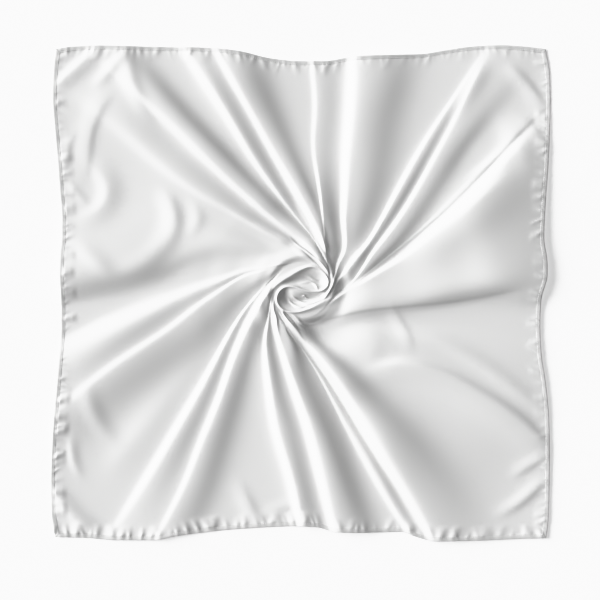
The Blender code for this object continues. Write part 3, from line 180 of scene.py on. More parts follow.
# ---------------------------------------------------------- strands, creases
# Single lips, strands, creases and hollows laid over the folds.  Each path
# goes through points: place in divisions, height in mm (minus for a crease or
# a hollow), and how far it reaches to the left and to the right, in mm.
STRANDS = [
    # --- the S of the twist
    ("s_lip_top", [
        # x, y, height, left, right
        (-46, -21, 0.0, 4, 4), (-38, -9, 1.0, 4, 4), (-31, -0.5, 1.8, 4, 3), (-25.6, 5.0, 2.4, 4, 2.8),
        (-20, 9.0, 2.6, 4, 2.8), (-12.4, 12.8, 2.8, 4, 2.8), (-7.4, 16.2, 2.8, 4, 3.0), (-2, 19.6, 2.8, 3.2, 3.0),
        (4.5, 22.4, 2.8, 2.2, 2.8), (10, 23.2, 2.8, 2.2, 2.2), (15.8, 21.6, 2.8, 2.0, 1.8), (21, 17.8, 2.8, 1.8, 1.6),
        (24.8, 12.6, 2.8, 1.6, 1.6), (26.2, 7.8, 2.8, 1.6, 1.6), (24.6, 3.0, 2.8, 1.6, 1.8), (20, -0.6, 2.8, 1.8, 2.0),
        (14, -2.0, 2.8, 2.0, 2.0), (7, -1.8, 2.8, 2.0, 2.0), (0, 0.2, 2.6, 2.0, 2.0), (-6, 2.8, 1.4, 2.0, 2.0),
        (-11, 3.6, 0.2, 2.0, 2.0)]),
    ("s_lip_low", [
        (0, 0.2, 0.0, 2.0, 2.0), (-6, 2.8, 1.2, 2.0, 2.0), (-11, 3.6, 2.5, 2.0, 2.2), (-16, 3.0, 2.8, 2.0, 2.2),
        (-20.5, 0.6, 2.8, 2.0, 2.2), (-23.8, -3.4, 2.8, 1.8, 2.0), (-25.2, -8.4, 2.8, 1.8, 1.8), (-24.2, -13.6, 2.8, 1.8, 1.8),
        (-20.5, -18.4, 2.8, 1.8, 1.8), (-15, -21.4, 2.8, 1.8, 1.8), (-8.5, -22.2, 2.6, 1.8, 1.8), (-2, -21.6, 2.4, 1.8, 2.0),
        (4, -19.8, 2.2, 2.0, 2.4), (10, -17.6, 2.0, 2.2, 3.0), (18, -13.6, 1.6, 2.6, 4.0), (27, -9.8, 1.2, 3.0, 5.0),
        (38, -5.4, 0.6, 3.0, 5.0), (50, -1, 0.0, 3.0, 5.0)]),
    ("hollow_up", [
        (-19, 6.8, 0.0, 3.2, 3.2), (-13, 8.6, -3.4, 4.0, 4.0), (-5, 10.4, -5.6, 6.5, 5.5), (4, 12.0, -7.4, 9.0, 7.5),
        (12, 11.2, -9.2, 8.4, 7.4), (18, 9.4, -10.2, 5.6, 5.4), (20.4, 6.4, -6.0, 3.6, 3.6)]),
    ("hollow_low", [
        (-15, -1, -2.0, 4.5, 4.5), (-17.5, -6, -6.5, 8.0, 6.5), (-15, -10.5, -7.5, 8.0, 7.0), (-8, -12, -7.8, 8.0, 7.0),
        (0, -10.6, -8.2, 7.5, 6.8), (8, -8.2, -8.8, 6.0, 6.0), (15, -6.4, -9.0, 4.4, 4.4), (20, -5.2, -6.0, 3.0, 3.0)]),
    ("up_inner_a", [
        (-4.4, 6.5, 0.0, 1.8, 1.8), (1.9, 7.6, 1.4, 1.8, 1.8), (7.7, 8.3, 2.4, 1.8, 1.8), (11.8, 6.9, 2.2, 1.8, 1.8),
        (14.6, 3.8, 1.8, 1.8, 1.8), (15.7, 0.4, 0.5, 1.8, 1.8)]),
    ("up_inner_b", [
        (3.0, 14.5, 0.0, 1.8, 1.8), (8.5, 12.4, 1.2, 1.8, 1.8), (12.5, 10.0, 1.3, 1.8, 1.8), (15.5, 9.8, 0.8, 1.8, 1.8),
        (19, 11.5, 0.0, 1.8, 1.8)]),
    ("low_inner_a", [
        (-12, -5.5, 0.0, 1.8, 1.6), (-8.5, -7.4, 1.6, 1.8, 1.6), (-3.8, -10.6, 2.2, 1.8, 1.6), (3.6, -13.4, 2.4, 1.8, 1.6),
        (11.1, -12.6, 2.0, 1.8, 1.6), (18.6, -9.2, 1.4, 1.8, 1.6), (24.9, -6.3, 0.2, 1.8, 1.6)]),
    ("low_inner_b", [
        (-13.5, -8, 0.0, 1.6, 1.6), (-12, -11.5, 1.4, 1.6, 1.6), (-7.4, -15.2, 2.0, 1.6, 1.6), (-2.2, -17.0, 2.0, 1.6, 1.6),
        (2.4, -16.4, 0.8, 1.6, 1.6), (6, -15, 0.0, 1.6, 1.6)]),
    ("low_knot", [
        (0.2, -6.6, 0.6, 1.2, 1.2), (2.4, -6.0, 2.0, 1.2, 1.2), (4.2, -7.6, 1.4, 1.2, 1.2), (6.6, -9.2, 0.2, 1.2, 1.2)]),
    # --- right of the twist
    ("right_strand", [
        (15, 58, 0.0, 3.0, 5.0), (21.6, 42, 0.6, 2.6, 5.0), (26, 31, 1.2, 2.4, 4.5),
        (28.4, 23, 2.0, 2.2, 4.0), (30.6, 16, 2.6, 2.0, 3.4), (31.0, 9.4, 2.8, 1.8, 3.0), (29.6, 3.4, 2.8, 1.8, 2.6),
        (27.0, -1.6, 2.4, 1.8, 2.2), (23.6, -6.5, 1.0, 1.8, 2.0), (20.6, -10, 0.0, 1.8, 2.0)]),
    ("right_strand_crease", [
        (11, 56, 0.0, 1.2, 1.2), (15, 44, -0.8, 1.2, 1.2), (19.8, 35.4, -1.0, 1.2, 1.2), (24.4, 27.5, -1.0, 1.2, 1.2),
        (26.8, 20, -0.9, 1.2, 1.2), (28.4, 12, -0.7, 1.2, 1.2), (28, 7, 0.0, 1.2, 1.2)]),
    ("thin_strand", [
        (-14, 54, 0.0, 1.5, 1.5), (-4, 44.5, 1.0, 1.5, 1.5), (3.6, 39.4, 1.3, 1.5, 1.5), (12, 32.6, 1.6, 1.5, 1.5),
        (19.4, 26.2, 1.8, 1.5, 1.5), (24, 20.6, 1.6, 1.5, 1.5), (27, 15, 0.0, 1.5, 1.5)]),
    ("thin_crease", [
        (-2, 42, 0.0, 1.3, 1.3), (6.5, 34.2, -0.9, 1.3, 1.3), (11.5, 29.6, -1.3, 1.3, 1.3), (17.2, 24.6, -1.6, 1.3, 1.3),
        (21, 20.6, -0.8, 1.3, 1.3), (23.4, 17.4, 0.0, 1.3, 1.3)]),
    # --- the right fold
    ("right_lip", [
        (-14, -22.0, 0.0, 2.4, 1.6), (-8.6, -25.2, 1.4, 2.4, 1.6), (-5.2, -28.5, 1.6, 2.6, 1.6), (-1.6, -32.4, 1.9, 2.8, 1.8),
        (2.5, -34.0, 1.6, 3.2, 2.0), (8, -34.0, 1.0, 3.6, 2.2), (15, -32.6, 0.5, 4.0, 2.4), (24, -30.5, 0.0, 4.0, 2.4)]),
    # --- below the twist
    ("low_crease_left", [
        (-31.0, -4, 0.0, 1.4, 3.0), (-31.8, -12, -1.0, 1.4, 3.0), (-31.8, -20, -1.6, 1.4, 3.0), (-31.5, -28, -1.5, 1.4, 3.0),
        (-30.6, -36, -1.0, 1.6, 3.0), (-28.6, -46, -0.5, 1.6, 3.0), (-27, -56, 0.0, 1.6, 3.0)]),
    ("low_strand_a", [
        (-28.4, -9, 0.0, 1.8, 1.8), (-28.8, -14, 1.4, 1.8, 1.8), (-28.4, -20, 1.8, 1.8, 1.8), (-26.6, -25, 2.0, 1.8, 1.8),
        (-25.4, -30, 2.0, 2.0, 1.8), (-25.2, -35, 1.5, 2.4, 2.0), (-24.4, -41, 0.9, 2.4, 2.0), (-22.8, -49, 0.4, 2.4, 2.0),
        (-20, -58, 0.0, 2.4, 2.0)]),
    ("low_strand_b", [
        (-20.8, -19.0, 0.0, 1.6, 1.6), (-18.8, -22.8, 1.6, 1.6, 1.6), (-16.2, -27.2, 1.8, 1.6, 1.6), (-12.8, -31.6, 1.8, 1.7, 1.6),
        (-9.0, -35.6, 1.6, 1.8, 1.8), (-5, -40.5, 1.1, 2.0, 2.0), (-1, -47, 0.5, 2.0, 2.0), (4, -56, 0.0, 2.0, 2.0)]),
    ("low_crease_mid", [
        (-24.6, -20, 0.0, 1.5, 1.5), (-23, -24, -0.8, 1.5, 1.5), (-20.5, -28.5, -1.4, 1.5, 1.5), (-17.8, -32.5, -1.6, 1.5, 1.5),
        (-15.4, -37, -0.5, 1.5, 1.5), (-14.2, -41, -0.9, 1.5, 1.5), (-11.6, -45, -1.5, 1.4, 1.5), (-8.8, -49, -1.3, 1.4, 1.6),
        (-5, -55, -0.6, 1.4, 1.6), (0, -64, 0.0, 1.4, 1.6)]),
    ("low_notch", [
        (-18.6, -20.5, 0.0, 1.5, 1.5), (-15.2, -23.8, -2.0, 1.5, 1.5), (-12, -26.4, -1.9, 1.5, 1.5), (-9, -29.4, -1.7, 1.6, 1.6),
        (-6.4, -33.2, -1.3, 1.8, 1.8), (-3, -37.5, -0.7, 1.8, 2.0), (2, -40.5, 0.0, 1.8, 2.0)]),
    # --- the long fold to the right: its rounded shoulder and its lower edge
    ("right_shoulder", [
        (40, -21, 0.0, 14, 8), (57, -18.8, 0.7, 18, 10), (78.5, -15.3, 1.1, 22, 11), (104.4, -11, 1.4, 22, 11), (139.9, -4.9, 1.6, 22, 11),
        (170, 0.6, 1.6, 22, 12), (199.9, 7.5, 1.3, 20, 12), (224.7, 11.2, 0.0, 18, 12)]),
    ("right_edge", [
        (8, -34, 0.0, 2.4, 5), (30, -30, -0.6, 2.6, 6), (55, -24.4, -0.9, 3, 7), (77.2, -21, -1.0, 3, 8), (103.3, -18.6, -1.0, 3, 8),
        (139.2, -15.1, -1.0, 3, 8), (169.6, -11.0, -0.9, 3.4, 8), (199.9, -5.0, -0.7, 4, 8), (225, -0.4, 0.0, 5, 8)]),
    ("right_back", [
        (104.4, 34.5, 0.0, 9, 22), (130.3, 51.3, 2.0, 10, 30), (155.3, 69.1, 3.2, 10, 36), (179, 89, 3.0, 11, 38), (199, 105.1, 1.4, 12, 36),
        (219.5, 119.7, 0.0, 12, 34)]),
    ("right_far", [
        (203, -2.5, 0.0, 52, 14), (223, -1.0, 1.8, 56, 14), (243, 2.0, 2.4, 60, 15), (262, 5, 2.4, 60, 15)]),
    # --- rounded ends of the two right-hand folds
    ("end_high", [
        (150, 172, 0.0, 6, 11), (160, 188, 1.2, 7, 12), (169, 203, 2.1, 8, 12), (177, 216, 2.0, 8, 12), (183, 229, 0.0, 8, 12)]),
    ("end_low", [
        (160, 108, 0.0, 5, 9), (176, 118, 1.1, 6, 10), (191, 128, 2.0, 7, 10), (203, 137, 2.0, 7, 10), (212, 146, 0.0, 7, 10)]),
    ("tip_low", [
        (196, 178, 0.0, 18, 18), (204, 168, 2.0, 20, 18), (213, 156, 3.2, 20, 18), (220, 143, 2.6, 20, 18), (225, 130, 1.4, 18, 16),
        (228, 116, 0.0, 16, 14)]),
    # --- top right corner
    ("corner_tr_a", [
        (203, 225, 0.0, 7, 11), (215, 215, 1.8, 7, 11), (226, 204, 2.4, 7, 11), (235, 192, 1.6, 7, 11), (242, 179, 0.0, 7, 11)]),
    ("corner_tr_b", [
        (208, 174, 0.0, 7, 11), (223, 167, 1.1, 7, 11), (234, 156, 1.4, 7, 11), (242, 143, 0.8, 7, 11), (247, 132, 0.0, 7, 11)]),
    # --- top left corner
    ("corner_tl_a", [
        (-248, 196, 0.0, 7, 12), (-238, 210, 2.2, 7, 12), (-224, 223, 2.8, 7, 12), (-209, 236, 2.0, 7, 12), (-200, 246, 0.0, 7, 12)]),
    ("corner_tl_b", [
        (-208, 203, 0.0, 7, 8), (-199, 212, 1.4, 7, 8), (-188, 225, 1.8, 7, 8), (-178, 237, 1.2, 7, 8), (-171, 246, 0.0, 7, 8)]),
    ("streak_tl", [
        (-219, 108, 0.0, 15, 8), (-216, 134, 1.5, 15, 8), (-212, 160, 1.9, 15, 8), (-203, 182, 1.4, 15, 8), (-190, 201, 0.0, 15, 8)]),
    ("streak_tl_edge", [
        (-238, 112, 0.0, 8, 6), (-237, 130, 1.2, 8, 6), (-233, 147, 1.0, 8, 6), (-227, 162, 0.0, 8, 6)]),
    ("crest_tl", [
        (-146, 166, 0.0, 10, 8), (-160, 184, 1.6, 10, 9), (-168, 202, 2.4, 11, 10), (-173, 221, 2.4, 11, 10), (-176, 240, 1.4, 11, 10)]),
    # --- left side
    ("ring_left", [
        (-214, 132, 0.0, 16, 10), (-201, 119, 2.0, 16, 11), (-193, 102, 3.0, 16, 12), (-197, 85, 2.4, 16, 11), (-211, 74, 1.4, 14, 10),
        (-228, 68, 0.0, 14, 9)]),
    ("spot_left", [
        (-235, 110, 0.0, 6, 6), (-228, 101, 1.1, 6, 6), (-221, 93, 1.0, 6, 6), (-212, 85, 0.0, 6, 6)]),
    ("crest_left", [
        (-142, 100, 0.0, 10, 12), (-132, 87, 2.2, 10, 12), (-127.5, 73, 2.9, 11, 13), (-129, 59, 2.6, 12, 14), (-139, 44, 2.2, 14, 15),
        (-156, 28, 2.0, 14, 15), (-175, 19, 1.2, 14, 14), (-192, 14, 0.0, 14, 12)]),
    ("dot_left", [
        (-114, 90, 0.0, 9, 10), (-106, 80, 1.0, 9, 10), (-103.5, 71, 1.3, 9, 10), (-108, 62, 0.9, 9, 10), (-116, 52, 0.0, 9, 10)]),
    ("hollow_left", [
        (-230, 50, 0.0, 13, 11), (-218, 40, 1.6, 13, 11), (-207, 31, 2.2, 13, 11), (-197, 23, 1.6, 12, 11), (-187, 15, 0.0, 12, 10)]),
    # --- bottom left corner
    ("edge_bl", [
        (-216, -90, 0.0, 12, 12), (-213, -110, 1.6, 12, 12), (-206, -127, 2.3, 12, 12), (-196, -141, 1.6, 12, 12), (-184, -155, 0.0, 12, 12)]),
    ("corner_bl", [
        (-249, -190, 0.0, 13, 9), (-242, -208, 2.6, 13, 9), (-230, -223, 3.6, 13, 9), (-214, -235, 2.8, 13, 9), (-198, -244, 0.0, 13, 9)]),
    ("streak_bl", [
        (-230, -144, 0.0, 8, 6), (-230, -160, 1.5, 8, 6), (-227, -174, 1.6, 8, 6), (-218, -190, 0.0, 8, 6)]),
    # --- bottom
    ("field_bl", [
        (-88, -68, 0.0, 24, 16), (-109.6, -87.2, 1.6, 30, 20), (-142.3, -125.9, 3.3, 36, 24), (-165, -153, 3.6, 36, 24),
        (-181, -172.4, 2.4, 34, 22), (-194, -186, 0.0, 30, 18)]),
    ("blob_bottom", [
        (-66, -188, 0.0, 9, 12), (-57, -208, 1.6, 9, 12), (-50, -222, 2.1, 9, 12), (-44, -233, 1.4, 8, 11), (-39, -243, 0.0, 8, 10)]),
    ("crease_bottom", [
        (-50, -231, 0.0, 9, 7), (-34, -223, 0.9, 9, 7), (-20, -217, 1.0, 9, 7), (0, -210, 0.0, 9, 7)]),
    # --- bottom right corner
    ("corner_br_a", [
        (208, -187, 0.0, 9, 6), (220, -179, 1.3, 9, 6), (232, -172, 1.6, 9, 6), (244, -165, 0.9, 9, 6)]),
    ("corner_br_b", [
        (192, -226, 0.0, 9, 7), (208, -218, 1.6, 9, 7), (222, -208, 2.1, 9, 7), (236, -195, 1.6, 9, 7), (246, -186, 0.0, 9, 7)]),
    # --- the bowl at the right
    ("bowl_arc", [
        (62, -84, 0.0, 10, 16), (82, -78, 2.6, 10, 18), (108, -76, 3.8, 10, 20), (144, -87, 4.2, 10, 24), (181, -107, 4.4, 10, 26),
        (216, -131, 4.4, 10, 26), (240, -154, 3.0, 10, 22)]),
    ("bowl_arc_high", [
        (92, -40, 0.0, 12, 9), (116, -46, 1.3, 12, 10), (146, -55, 1.9, 12, 10), (181, -75, 1.9, 12, 10), (216, -101, 1.6, 10, 10),
        (236, -116, 0.8, 8, 8)]),
    ("bowl_spot", [
        (62, -34, 0.0, 16, 22), (67, -46, 1.1, 18, 26), (68, -58, 1.7, 18, 28), (63, -70, 1.2, 16, 24), (52, -79, 0.0, 14, 20)]),
    ("bowl_point", [
        (86, -14, 0.0, 6, 10), (94, -27, 1.0, 6, 10), (101, -38, 1.2, 6.5, 10), (106, -49, 0.8, 7, 10), (108, -62, 0.0, 7, 10)]),
]
TWIST_TOP, TWIST_RIM = 13.6, 12.0     # mm, the twist under its strands, middle and rim


# ------------------------------------------------------------ shape helpers
def pchip(xs, ys):
    """Shape-preserving cubic through stations; gives back a function."""
    xs, ys = np.asarray(xs, float), np.asarray(ys, float)
    step = np.diff(xs)
    rate = np.diff(ys) / step
    slope = np.zeros_like(ys)
    for i in range(1, len(xs) - 1):
        if rate[i - 1] * rate[i] > 0:
            a, b = 2 * step[i] + step[i - 1], step[i] + 2 * step[i - 1]
            slope[i] = (a + b) / (a / rate[i - 1] + b / rate[i])
    slope[0], slope[-1] = rate[0], rate[-1]

    def value(x):
        x = np.clip(x, xs[0], xs[-1])
        i = np.clip(np.searchsorted(xs, x) - 1, 0, len(xs) - 2)
        t = (x - xs[i]) / step[i]
        return ((2 * t**3 - 3 * t**2 + 1) * ys[i] + (t**3 - 2 * t**2 + t) * step[i] * slope[i]
                + (3 * t**2 - 2 * t**3) * ys[i + 1] + (t**3 - t**2) * step[i] * slope[i + 1])
    return value


def smooth(a, b, x):
    t = np.clip((x - a) / (b - a), 0.0, 1.0)
    return t * t * (3 - 2 * t)


def bearing_of(x, y):
    """Radius in divisions and straightened bearing in degrees."""
    r = np.hypot(x, y)
    lean = np.degrees(np.arcsin(np.clip(SWIRL_R / np.maximum(r, 1e-6), 0, 1)))
    return r, np.degrees(np.arctan2(y, x)) + lean


def place_of(r, bearing):
    angle = np.radians(bearing) - np.arcsin(np.clip(SWIRL_R / r, 0, 1))
    return r * np.cos(angle), r * np.sin(angle)


LOG_AT = np.linspace(math.log(27.0), math.log(400.0), 520)     # rings the folds are worked out on


def eased(rows, reach):
    """Profiles along the radius with their corners rounded off."""
    step = LOG_AT[1] - LOG_AT[0]
    count = int(3 * reach / step)
    weight = np.exp(-0.5 * (np.arange(-count, count + 1) * step / reach)**2)
    weight = weight / weight.sum()
    rows = np.atleast_2d(rows)
    padded = np.pad(rows, ((0, 0), (count, count)), mode="edge")
    return np.array([np.convolve(row, weight, mode="valid") for row in padded])


def ring_place(r):
    """Where a radius falls among the rings: first of four, and their shares."""
    u = (np.log(np.clip(r, 27.5, 390.0)) - LOG_AT[0]) / (LOG_AT[1] - LOG_AT[0])
    k = np.clip(u.astype(int), 1, len(LOG_AT) - 3)
    t = u - k
    return k, (-0.5 * t + t**2 - 0.5 * t**3, 1 - 2.5 * t**2 + 1.5 * t**3,
               0.5 * t + 2 * t**2 - 1.5 * t**3, -0.5 * t**2 + 0.5 * t**3)


def at_ring(row, place):
    k, share = place
    return (row[k - 1] * share[0] + row[k] * share[1] + row[k + 1] * share[2]
            + row[k + 2] * share[3])


def slope_rows():
    """Each band's bearing, width and climb in mm on the rings.

    Neighbouring bands run into each other, so the climbs are found together:
    the cloth then leans as the table says at the middle of every band.
    """
    radii = np.maximum(np.exp(LOG_AT), SWIRL_R + 0.6)
    root = np.sqrt(radii**2 - SWIRL_R**2)
    window = math.radians(WINDOW)
    count = len(BANDS)
    where, wide, want, trust = (np.zeros((count, len(radii))) for _ in range(4))
    for i, (name, bearing, lean, width) in enumerate(BANDS):
        where[i] = eased(pchip(R_AT, bearing)(radii), 0.10)[0]
        share = LIT_SHARE if sum(lean) > 0 else SHADED_SHARE
        wide[i] = eased(pchip(W_AT, width)(radii) * share, 0.10)[0]
        tilt = eased(pchip(R_AT + (REACH,), lean + (0.0,))(radii), 0.07)[0]
        angle = np.radians(where[i]) - np.arcsin(SWIRL_R / radii)
        out = math.degrees(1.0) * SWIRL_R / (radii * root) + np.gradient(where[i], radii + 1e-6 * LOG_AT)
        round_ = math.degrees(1.0) / radii
        gx = round_ * -np.sin(angle) - out * np.cos(angle)
        gy = round_ * np.cos(angle) - out * np.sin(angle)
        facing = -(gx * math.cos(window) + gy * math.sin(window)) / GRID
        full = np.hypot(gx, gy) / GRID
        side = np.where(np.sin(np.radians(where[i]) - window) < 0, -1.0, 1.0)
        facing = side * np.maximum(side * facing, 0.36 * full)
        lean_share = LIT_LEAN if sum(lean) > 0 else SHADED_LEAN * (1 - OUTER_EASE * smooth(150.0, 240.0, radii))
        want[i] = np.tan(np.radians(tilt * lean_share)) / facing
        trust[i] = tilt**2 / (tilt**2 + 9.0) * (LIT_TRUST if sum(lean) > 0 else 1.0)
        if name in STILL:
            trust[i] += (STILL_TRUST - trust[i]) * smooth(0.75 * STILL[name], 1.15 * STILL[name], radii)
    stops = sorted(FIELDS, key=lambda row: row[1])
    level = np.array([pchip(F_AT, row[2])(radii) for row in stops])
    spans = [(a, (a + 1) % len(stops)) for a in range(len(stops)) if stops[a][3]]
    climb = np.zeros((count, len(radii)))
    for k in range(len(radii)):
        at, w = where[:, k], wide[:, k]
        off = np.mod(at[:, None] - at[None, :] + 180.0, 360.0) - 180.0
        mix = 1.0 / np.cosh(np.clip(1.7627 * off / w[None, :], -40.0, 40.0))**2
        left = (mix * trust[:, k][:, None]).T @ mix + STIFF * np.eye(count)
        right = (mix * trust[:, k][:, None]).T @ want[:, k] + STIFF * want[:, k]
        for a, b in spans:
            start, stop = stops[a][1], stops[b][1]
            arc = (stop - start) % 360.0
            first = np.mod(start - at + 180.0, 360.0) - 180.0
            part = 0.5 * (np.tanh(1.7627 * (first + arc) / w) - np.tanh(1.7627 * first / w))
            later = 0.5 * (np.tanh(1.7627 * (first + arc - 360.0) / w) - np.tanh(1.7627 * (first - 360.0) / w))
            row = (part + later) * w / 0.881 / arc
            rise = (level[b, k] - level[a, k]) / arc
            left = left + BALANCE * np.outer(row, row)
            right = right + BALANCE * row * rise
        climb[:, k] = np.linalg.solve(left, right) * w / 0.881
    climb = eased(climb, 0.06)
    return list(zip(where, wide, climb))


def steps(place, bearing):
    """Climbs added up round the ring, in mm, from bearing 0."""
    p = np.mod(bearing, 360.0)
    h, total = np.zeros(p.shape), np.zeros(p.shape)
    tail = at_ring(TAIL_SHARE * smooth(*TAIL_FROM, np.exp(LOG_AT)), place)
    for (where, wide, climb), row in zip(SLOPES, BANDS):
        at, w, c = at_ring(where, place), at_ring(wide, place), at_ring(climb, place)
        off = np.mod(p - at + 180.0, 360.0) - 180.0
        start = np.floor((p - at + 180.0) / 360.0)
        step = np.tanh(1.7627 * off / w)
        if sum(row[2]) > 0:
            step = step + tail * (np.tanh(1.7627 * off / (TAIL_WIDE * w)) - step)
        h = h + c * (0.5 * (1 + step) + start)
        total = total + c
    return h - total * p / 360.0


def level_rows():
    """What to add to the steps, at each field and each ring."""
    radii = np.exp(LOG_AT)
    around = np.arange(0.0, 360.0, 3.0)
    ring_r, ring_p = np.meshgrid(radii, around, indexing="ij")
    mean = steps(ring_place(ring_r), ring_p).mean(axis=1)
    cone = pchip(CONE_AT, CONE)(radii) - mean
    near = 1.0 - smooth(CONE_IN, CONE_OUT, radii)
    rows = []
    for _name, bearing, height, _hold in FIELDS:
        want = pchip(F_AT, height)(radii)
        have = steps(ring_place(radii), np.full(radii.shape, bearing))
        rows.append((bearing, near * cone + (1 - near) * (want - have)))
    rows.sort(key=lambda row: row[0])
    at = np.array([row[0] for row in rows])
    add = eased(np.array([row[1] for row in rows]), 0.07)
    # closed round the ring, with one spare at each end
    return (np.concatenate([at[-2:] - 360.0, at, at[:2] + 360.0]),
            np.concatenate([add[-2:], add, add[:2]]))


def folds(r, bearing):
    """Height in mm of the radial folds."""
    at, add = LEVELS
    place = ring_place(r)
    p = np.mod(bearing, 360.0)
    k = np.clip(np.searchsorted(at, p, side="right") - 1, 1, len(at) - 3)

    def value(index):
        ring, share = place
        return (add[index, ring - 1] * share[0] + add[index, ring] * share[1]
                + add[index, ring + 1] * share[2] + add[index, ring + 2] * share[3])

    v0, v1, v2, v3 = value(k - 1), value(k), value(k + 1), value(k + 2)
    x0, x1, x2, x3 = at[k - 1], at[k], at[k + 1], at[k + 2]
    width = x2 - x1
    t = (p - x1) / width
    m1, m2 = (v2 - v0) / (x2 - x0) * width, (v3 - v1) / (x3 - x1) * width
    level = ((2 * t**3 - 3 * t**2 + 1) * v1 + (t**3 - 2 * t**2 + t) * m1
             + (3 * t**2 - 2 * t**3) * v2 + (t**3 - t**2) * m2)
    return steps(place, bearing) + level


SLOPES = slope_rows()
LEVELS = level_rows()


def spline(points, per_span):
    """Points along a smooth curve through the given ones."""
    pts = np.asarray(points, float)
    ext = np.vstack([2 * pts[0] - pts[1], pts, 2 * pts[-1] - pts[-2]])
    out = []
    for i in range(1, len(ext) - 2):
        a, b, c, d = ext[i - 1], ext[i], ext[i + 1], ext[i + 2]
        for t in np.arange(per_span) / per_span:
            out.append(0.5 * (2 * b + (c - a) * t + (2 * a - 5 * b + 4 * c - d) * t**2
                              + (3 * b - a - 3 * c + d) * t**3))
    out.append(pts[-1])
    return np.array(out)


def strand(x, y, path):
    """Height in mm of one strand (or depth of one crease) at plan points.

    Rounded beads strung closely along the path, wide enough to run together.
    """
    out = np.zeros(x.shape)
    fine = spline(path, 12)
    run = np.concatenate([[0.0], np.cumsum(np.hypot(*np.diff(fine[:, :2], axis=0).T))]) * GRID
    pitch = 0.42 * max(min(row[3] for row in path), 0.8)
    at = np.linspace(0.0, run[-1], max(int(run[-1] / pitch), 4) + 1)
    px, py, tall, left, right = (np.interp(at, run, fine[:, i]) for i in range(5))
    left, right = np.maximum(left, 0.6), np.maximum(right, 0.6)
    tx, ty = np.gradient(px), np.gradient(py)
    size = np.hypot(tx, ty)
    tx, ty, bead = tx / size, ty / size, at[1] - at[0]
    wide = 3.0 * max(left.max(), right.max()) / GRID
    near = ((x > px.min() - wide) & (x < px.max() + wide) & (y > py.min() - wide) & (y < py.max() + wide))
    if not np.any(near):
        return out
    qx, qy = x[near], y[near]
    total = np.zeros(qx.shape)
    for i in range(len(at)):
        dx, dy = (qx - px[i]) * GRID, (qy - py[i]) * GRID
        side = np.tanh((tx[i] * dy - ty[i] * dx) / (0.7 * min(left[i], right[i])))
        reach = 0.5 * (left[i] + right[i]) + 0.5 * (left[i] - right[i]) * side
        total += tall[i] * bead / 1.7725 / reach * np.exp(-(dx * dx + dy * dy) / (reach * reach))
    out[near] = total
    return out


def strands(x, y):
    out = np.zeros(x.shape)
    for _name, path in STRANDS:
        out = out + strand(x, y, path)
    return out


def twist(x, y):
    """Height in mm of the top of the twist, under its strands."""
    return TWIST_TOP + (TWIST_RIM - TWIST_TOP) * (x * x + y * y) / TWIST_R**2


# ------------------------------------------------------------ the outline
SIDES = {
    "top": {"curve": pchip(*zip(*SIDE_TOP)), "ends": ("top_right", "top_left"), "flat": 0},
    "left": {"curve": pchip(*zip(*SIDE_LEFT)), "ends": ("top_left", "bottom_left"), "flat": 1},
    "bottom": {"curve": pchip(*zip(*SIDE_BOTTOM)), "ends": ("bottom_left", "bottom_right"), "flat": 0},
    "right": {"curve": pchip(*zip(*SIDE_RIGHT)), "ends": ("bottom_right", "top_right"), "flat": 1},
}


def side_point(side, s, inset):
    """Point on a side, s from 0 to 1 counter-clockwise, inset in divisions."""
    row = SIDES[side]
    a, b = np.array(CORNERS[row["ends"][0]]), np.array(CORNERS[row["ends"][1]])
    k = row["flat"]
    along = a[k] + s * (b[k] - a[k])
    off = row["curve"](along)
    run = np.sign(b[k] - a[k])
    moved = (a[k] + run * inset) + s * ((b[k] - run * inset) - (a[k] + run * inset))
    inward = -np.sign(off)
    return (moved, off + inward * inset) if k == 0 else (off + inward * inset, moved)


def corner_bearing(name, inset):
    cx, cy = CORNERS[name]
    x, y = cx - math.copysign(inset, cx), cy - math.copysign(inset, cy)
    return float(bearing_of(np.array(x), np.array(y))[1]) % 360.0


def rim_lookup(side, inset):
    """Along one side: straightened bearing, radius and place along it."""
    s = np.linspace(0, 1, 481)
    x, y = side_point(side, s, inset)
    r, bearing = bearing_of(x, y)
    bearing = np.unwrap(bearing, period=360.0)
    start = corner_bearing(SIDES[side]["ends"][0], inset)
    bearing = bearing + 360.0 * round((start - bearing[0]) / 360.0)
    return bearing, r, s


def crowd(r, bearing):
    """How closely columns stand here: close on slopes, loose on flats."""
    p = np.mod(bearing, 360.0)
    want = np.full(p.shape, 0.22)
    place = ring_place(r)
    for where, wide, climb in SLOPES:
        at, w = at_ring(where, place), np.maximum(at_ring(wide, place), 1.6)
        used = np.minimum(np.abs(at_ring(climb, place)), 1.0)
        off = np.mod(p - at + 180.0, 360.0) - 180.0
        want = want + 0.45 * used / w * np.exp(-(off / (0.75 * w))**2)
    return want


def spaced(r, start, stop, count):
    """count + 1 bearings from start to stop on one circle, crowded on slopes."""
    fine = np.linspace(start, stop, 1441)
    want = crowd(np.full(fine.shape, r), fine)
    total = np.concatenate([[0], np.cumsum(0.5 * (want[1:] + want[:-1]))])
    return np.interp(np.linspace(0, total[-1], count + 1), total, fine)


